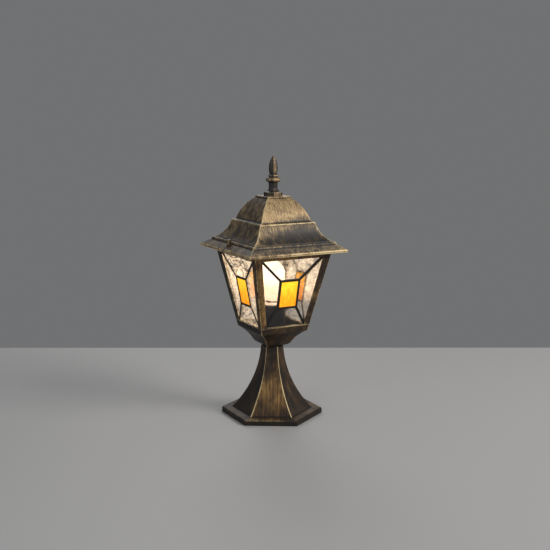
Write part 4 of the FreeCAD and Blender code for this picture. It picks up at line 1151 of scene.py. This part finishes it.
opal = lit_bulb()
brass = plain_metal("plain brass", (0.72, 0.52, 0.24), 0.32)
seam_painted_shadow = moulded("seam", (0.05, 0.025, 0.016), 0.7)
for name, outline, finish, slot in (
    ("bulb_tube", TUBE_OUTLINE, opal, "bulb_glass"),
    ("bulb_seam_shadow", SEAM_SHADOW_OUTLINE, seam_painted_shadow, "rubber"),
    ("bulb_collar", COLLAR_OUTLINE, lit_collar(), "white_plastic"),
):
    dress(turned(name, outline, around=72, soft=0.15, count=80), finish, "lamp", "bulb")
bulb_cap = turned("bulb_cap", CAP_OUTLINE, around=72, soft=0.15, count=160, wave=rolled_thread)
dress(bulb_cap, brass, "lamp", "bulb")

# Pads on the roof under its two screws

PAD_X = 77.68
PAD_HALF = 4.3
PAD_LOW = 277.5
PAD_HIGH = 284.6
PAD_OUTLINE = [(0.0, PAD_LOW), (PAD_HALF, PAD_LOW), (PAD_HALF, PAD_HIGH), (0.0, PAD_HIGH)]

for side, x in (("right", PAD_X), ("left", -PAD_X)):
    pad = turned(f"screw_pad_{side}", PAD_OUTLINE, around=48, soft=0.35, count=60, centre=(x, 0.0))
    dress(pad, cage_patina, "roof_top", "roof")

# Finishes of the nodes that stay as they are

SLOT_FINISHES = {
    "patina_metal": cage_patina,
    "steel": plain_metal("zinc plate", (0.62, 0.62, 0.60), 0.35),
    "brass": brass,
    "screw_metal": plain_metal("darkened brass", (0.34, 0.26, 0.15), 0.38),
    "rubber": moulded("black rubber", (0.022, 0.022, 0.022), 0.7),
    "white_plastic": moulded("white plastic", (0.80, 0.79, 0.75), 0.4),
    "live_insulation": moulded("brown sleeving", (0.20, 0.09, 0.04), 0.45),
    "neutral_insulation": moulded("blue sleeving", (0.05, 0.16, 0.52), 0.45),
    "earth_insulation": moulded("green sleeving", (0.20, 0.45, 0.06), 0.45),
    "holder_plastic": moulded("black holder", (0.012, 0.0095, 0.009), 0.55, sheen=0.12),
    "ceramic": moulded("holder ceramic", (0.78, 0.75, 0.68), 0.5),
    "came_metal": came_metal,
    "clear_glass": clear_glass,
    "amber_glass": amber_glass,
    "bulb_glass": opal,
}
for row in frame["record"]["subparts"]:
    mesh = nodes[row["node"]].data
    mesh.materials.clear()
    mesh.materials.append(SLOT_FINISHES[row["material_slot"]])

# Camera, floor and light, in metres

CAMERA_TURN = math.radians(-28.882)
LOOK_TURN = CAMERA_TURN - math.radians(0.149)
LOOK_DOWN = math.radians(10.104)
LOOK_ROLL = math.radians(0.368)
CAMERA_AWAY = 1.489647
CAMERA_UP = 0.494957
SENSOR_WIDTH = 36.0
FOCAL_PIXELS = 940.409
PICTURE_PIXELS = 550.0
FLOOR_TURN = CAMERA_TURN + math.radians(1.4)
FLOOR_AHEAD = 0.42
FLOOR_BACK = -6.0
FLOOR_HALF = 5.0
ROOM_LIGHT = ((0.95, 0.97, 1.0, 1.0), 0.34)
ROOM_VIEW = ((0.165, 0.167, 0.17, 1.0), 1.0)


def add_camera():
    """Camera at the photograph's viewing angle."""
    lens = bpy.data.cameras.new("camera")
    lens.sensor_width = SENSOR_WIDTH
    lens.lens = SENSOR_WIDTH * FOCAL_PIXELS / PICTURE_PIXELS
    lens.clip_start = 0.05
    lens.clip_end = 60.0
    camera = put("camera", lens)
    level = Vector((-math.sin(LOOK_TURN), math.cos(LOOK_TURN), 0.0))
    ahead = level * math.cos(LOOK_DOWN) - Vector((0.0, 0.0, math.sin(LOOK_DOWN)))
    right = ahead.cross(Vector((0.0, 0.0, 1.0))).normalized()
    up = right.cross(ahead)
    stand = Matrix((right, up, -ahead)).transposed() @ Matrix.Rotation(LOOK_ROLL, 3, "Z")
    spot = (CAMERA_AWAY * math.sin(CAMERA_TURN), -CAMERA_AWAY * math.cos(CAMERA_TURN), CAMERA_UP)
    camera.matrix_world = Matrix.Translation(spot) @ stand.to_4x4()
    bpy.context.scene.camera = camera


def add_lamp(name, spot, aim, size, power, tone):
    """Square soft light at a spot, turned to its aim."""
    light = bpy.data.lights.new(name, "AREA")
    light.shape = "SQUARE"
    light.size = size
    light.energy = power
    light.color = tone
    spot = Vector(spot)
    turn = (Vector(aim) - spot).to_track_quat("-Z", "Y")
    put(name, light).matrix_world = Matrix.Translation(spot) @ turn.to_matrix().to_4x4()


def add_floor():
    """Plain pale table top, level with the ground face, its far edge level in the picture."""
    ahead = Vector((-math.sin(FLOOR_TURN), math.cos(FLOOR_TURN), 0.0))
    right = Vector((ahead.y, -ahead.x, 0.0))
    corners = []
    for along, beside in (
        (FLOOR_AHEAD, -FLOOR_HALF),
        (FLOOR_AHEAD, FLOOR_HALF),
        (FLOOR_BACK, FLOOR_HALF),
        (FLOOR_BACK, -FLOOR_HALF),
    ):
        corners.append(tuple(ahead * along + right * beside))
    mesh = bpy.data.meshes.new("floor")
    mesh.from_pydata(corners, [], [(0, 3, 2, 1)])
    finish = Finish("pale floor")
    finish.set(Base_Color=(0.38, 0.376, 0.372, 1.0), Roughness=0.6, Specular_IOR_Level=0.25)
    mesh.materials.append(finish.material)
    put("floor", mesh)


def add_world():
    """Soft grey surround: one level lights the lamp, another is what camera, metal and glass see."""
    world = bpy.data.worlds.new("studio")
    bpy.context.scene.world = world
    world.use_nodes = True
    tree = world.node_tree
    tree.nodes.clear()
    path = tree.nodes.new("ShaderNodeLightPath")
    seen = path.outputs["Is Camera Ray"]
    for ray in ("Is Glossy Ray", "Is Transmission Ray"):
        either = tree.nodes.new("ShaderNodeMath")
        either.operation = "MAXIMUM"
        tree.links.new(seen, either.inputs[0])
        tree.links.new(path.outputs[ray], either.inputs[1])
        seen = either.outputs[0]
    mix = tree.nodes.new("ShaderNodeMixShader")
    tree.links.new(seen, mix.inputs[0])
    for inlet, (tone, strength) in enumerate((ROOM_LIGHT, ROOM_VIEW), start=1):
        surround = tree.nodes.new("ShaderNodeBackground")
        surround.inputs["Color"].default_value = tone
        surround.inputs["Strength"].default_value = strength
        tree.links.new(surround.outputs[0], mix.inputs[inlet])
    out = tree.nodes.new("ShaderNodeOutputWorld")
    tree.links.new(mix.outputs[0], out.inputs[0])


add_camera()
add_floor()
add_world()
add_lamp("key", spot=(1.15, -1.45, 1.35), aim=(0.0, 0.0, 0.2), size=0.9, power=30.0, tone=(1.0, 0.97, 0.93))
add_lamp("fill", spot=(-1.6, -0.9, 0.9), aim=(0.0, 0.0, 0.2), size=1.0, power=7.0, tone=(0.94, 0.97, 1.0))
add_lamp("rim", spot=(0.6, 1.6, 1.3), aim=(0.0, 0.0, 0.25), size=0.9, power=9.0, tone=(1.0, 1.0, 1.0))

bpy.context.scene.view_settings.view_transform = "Standard"
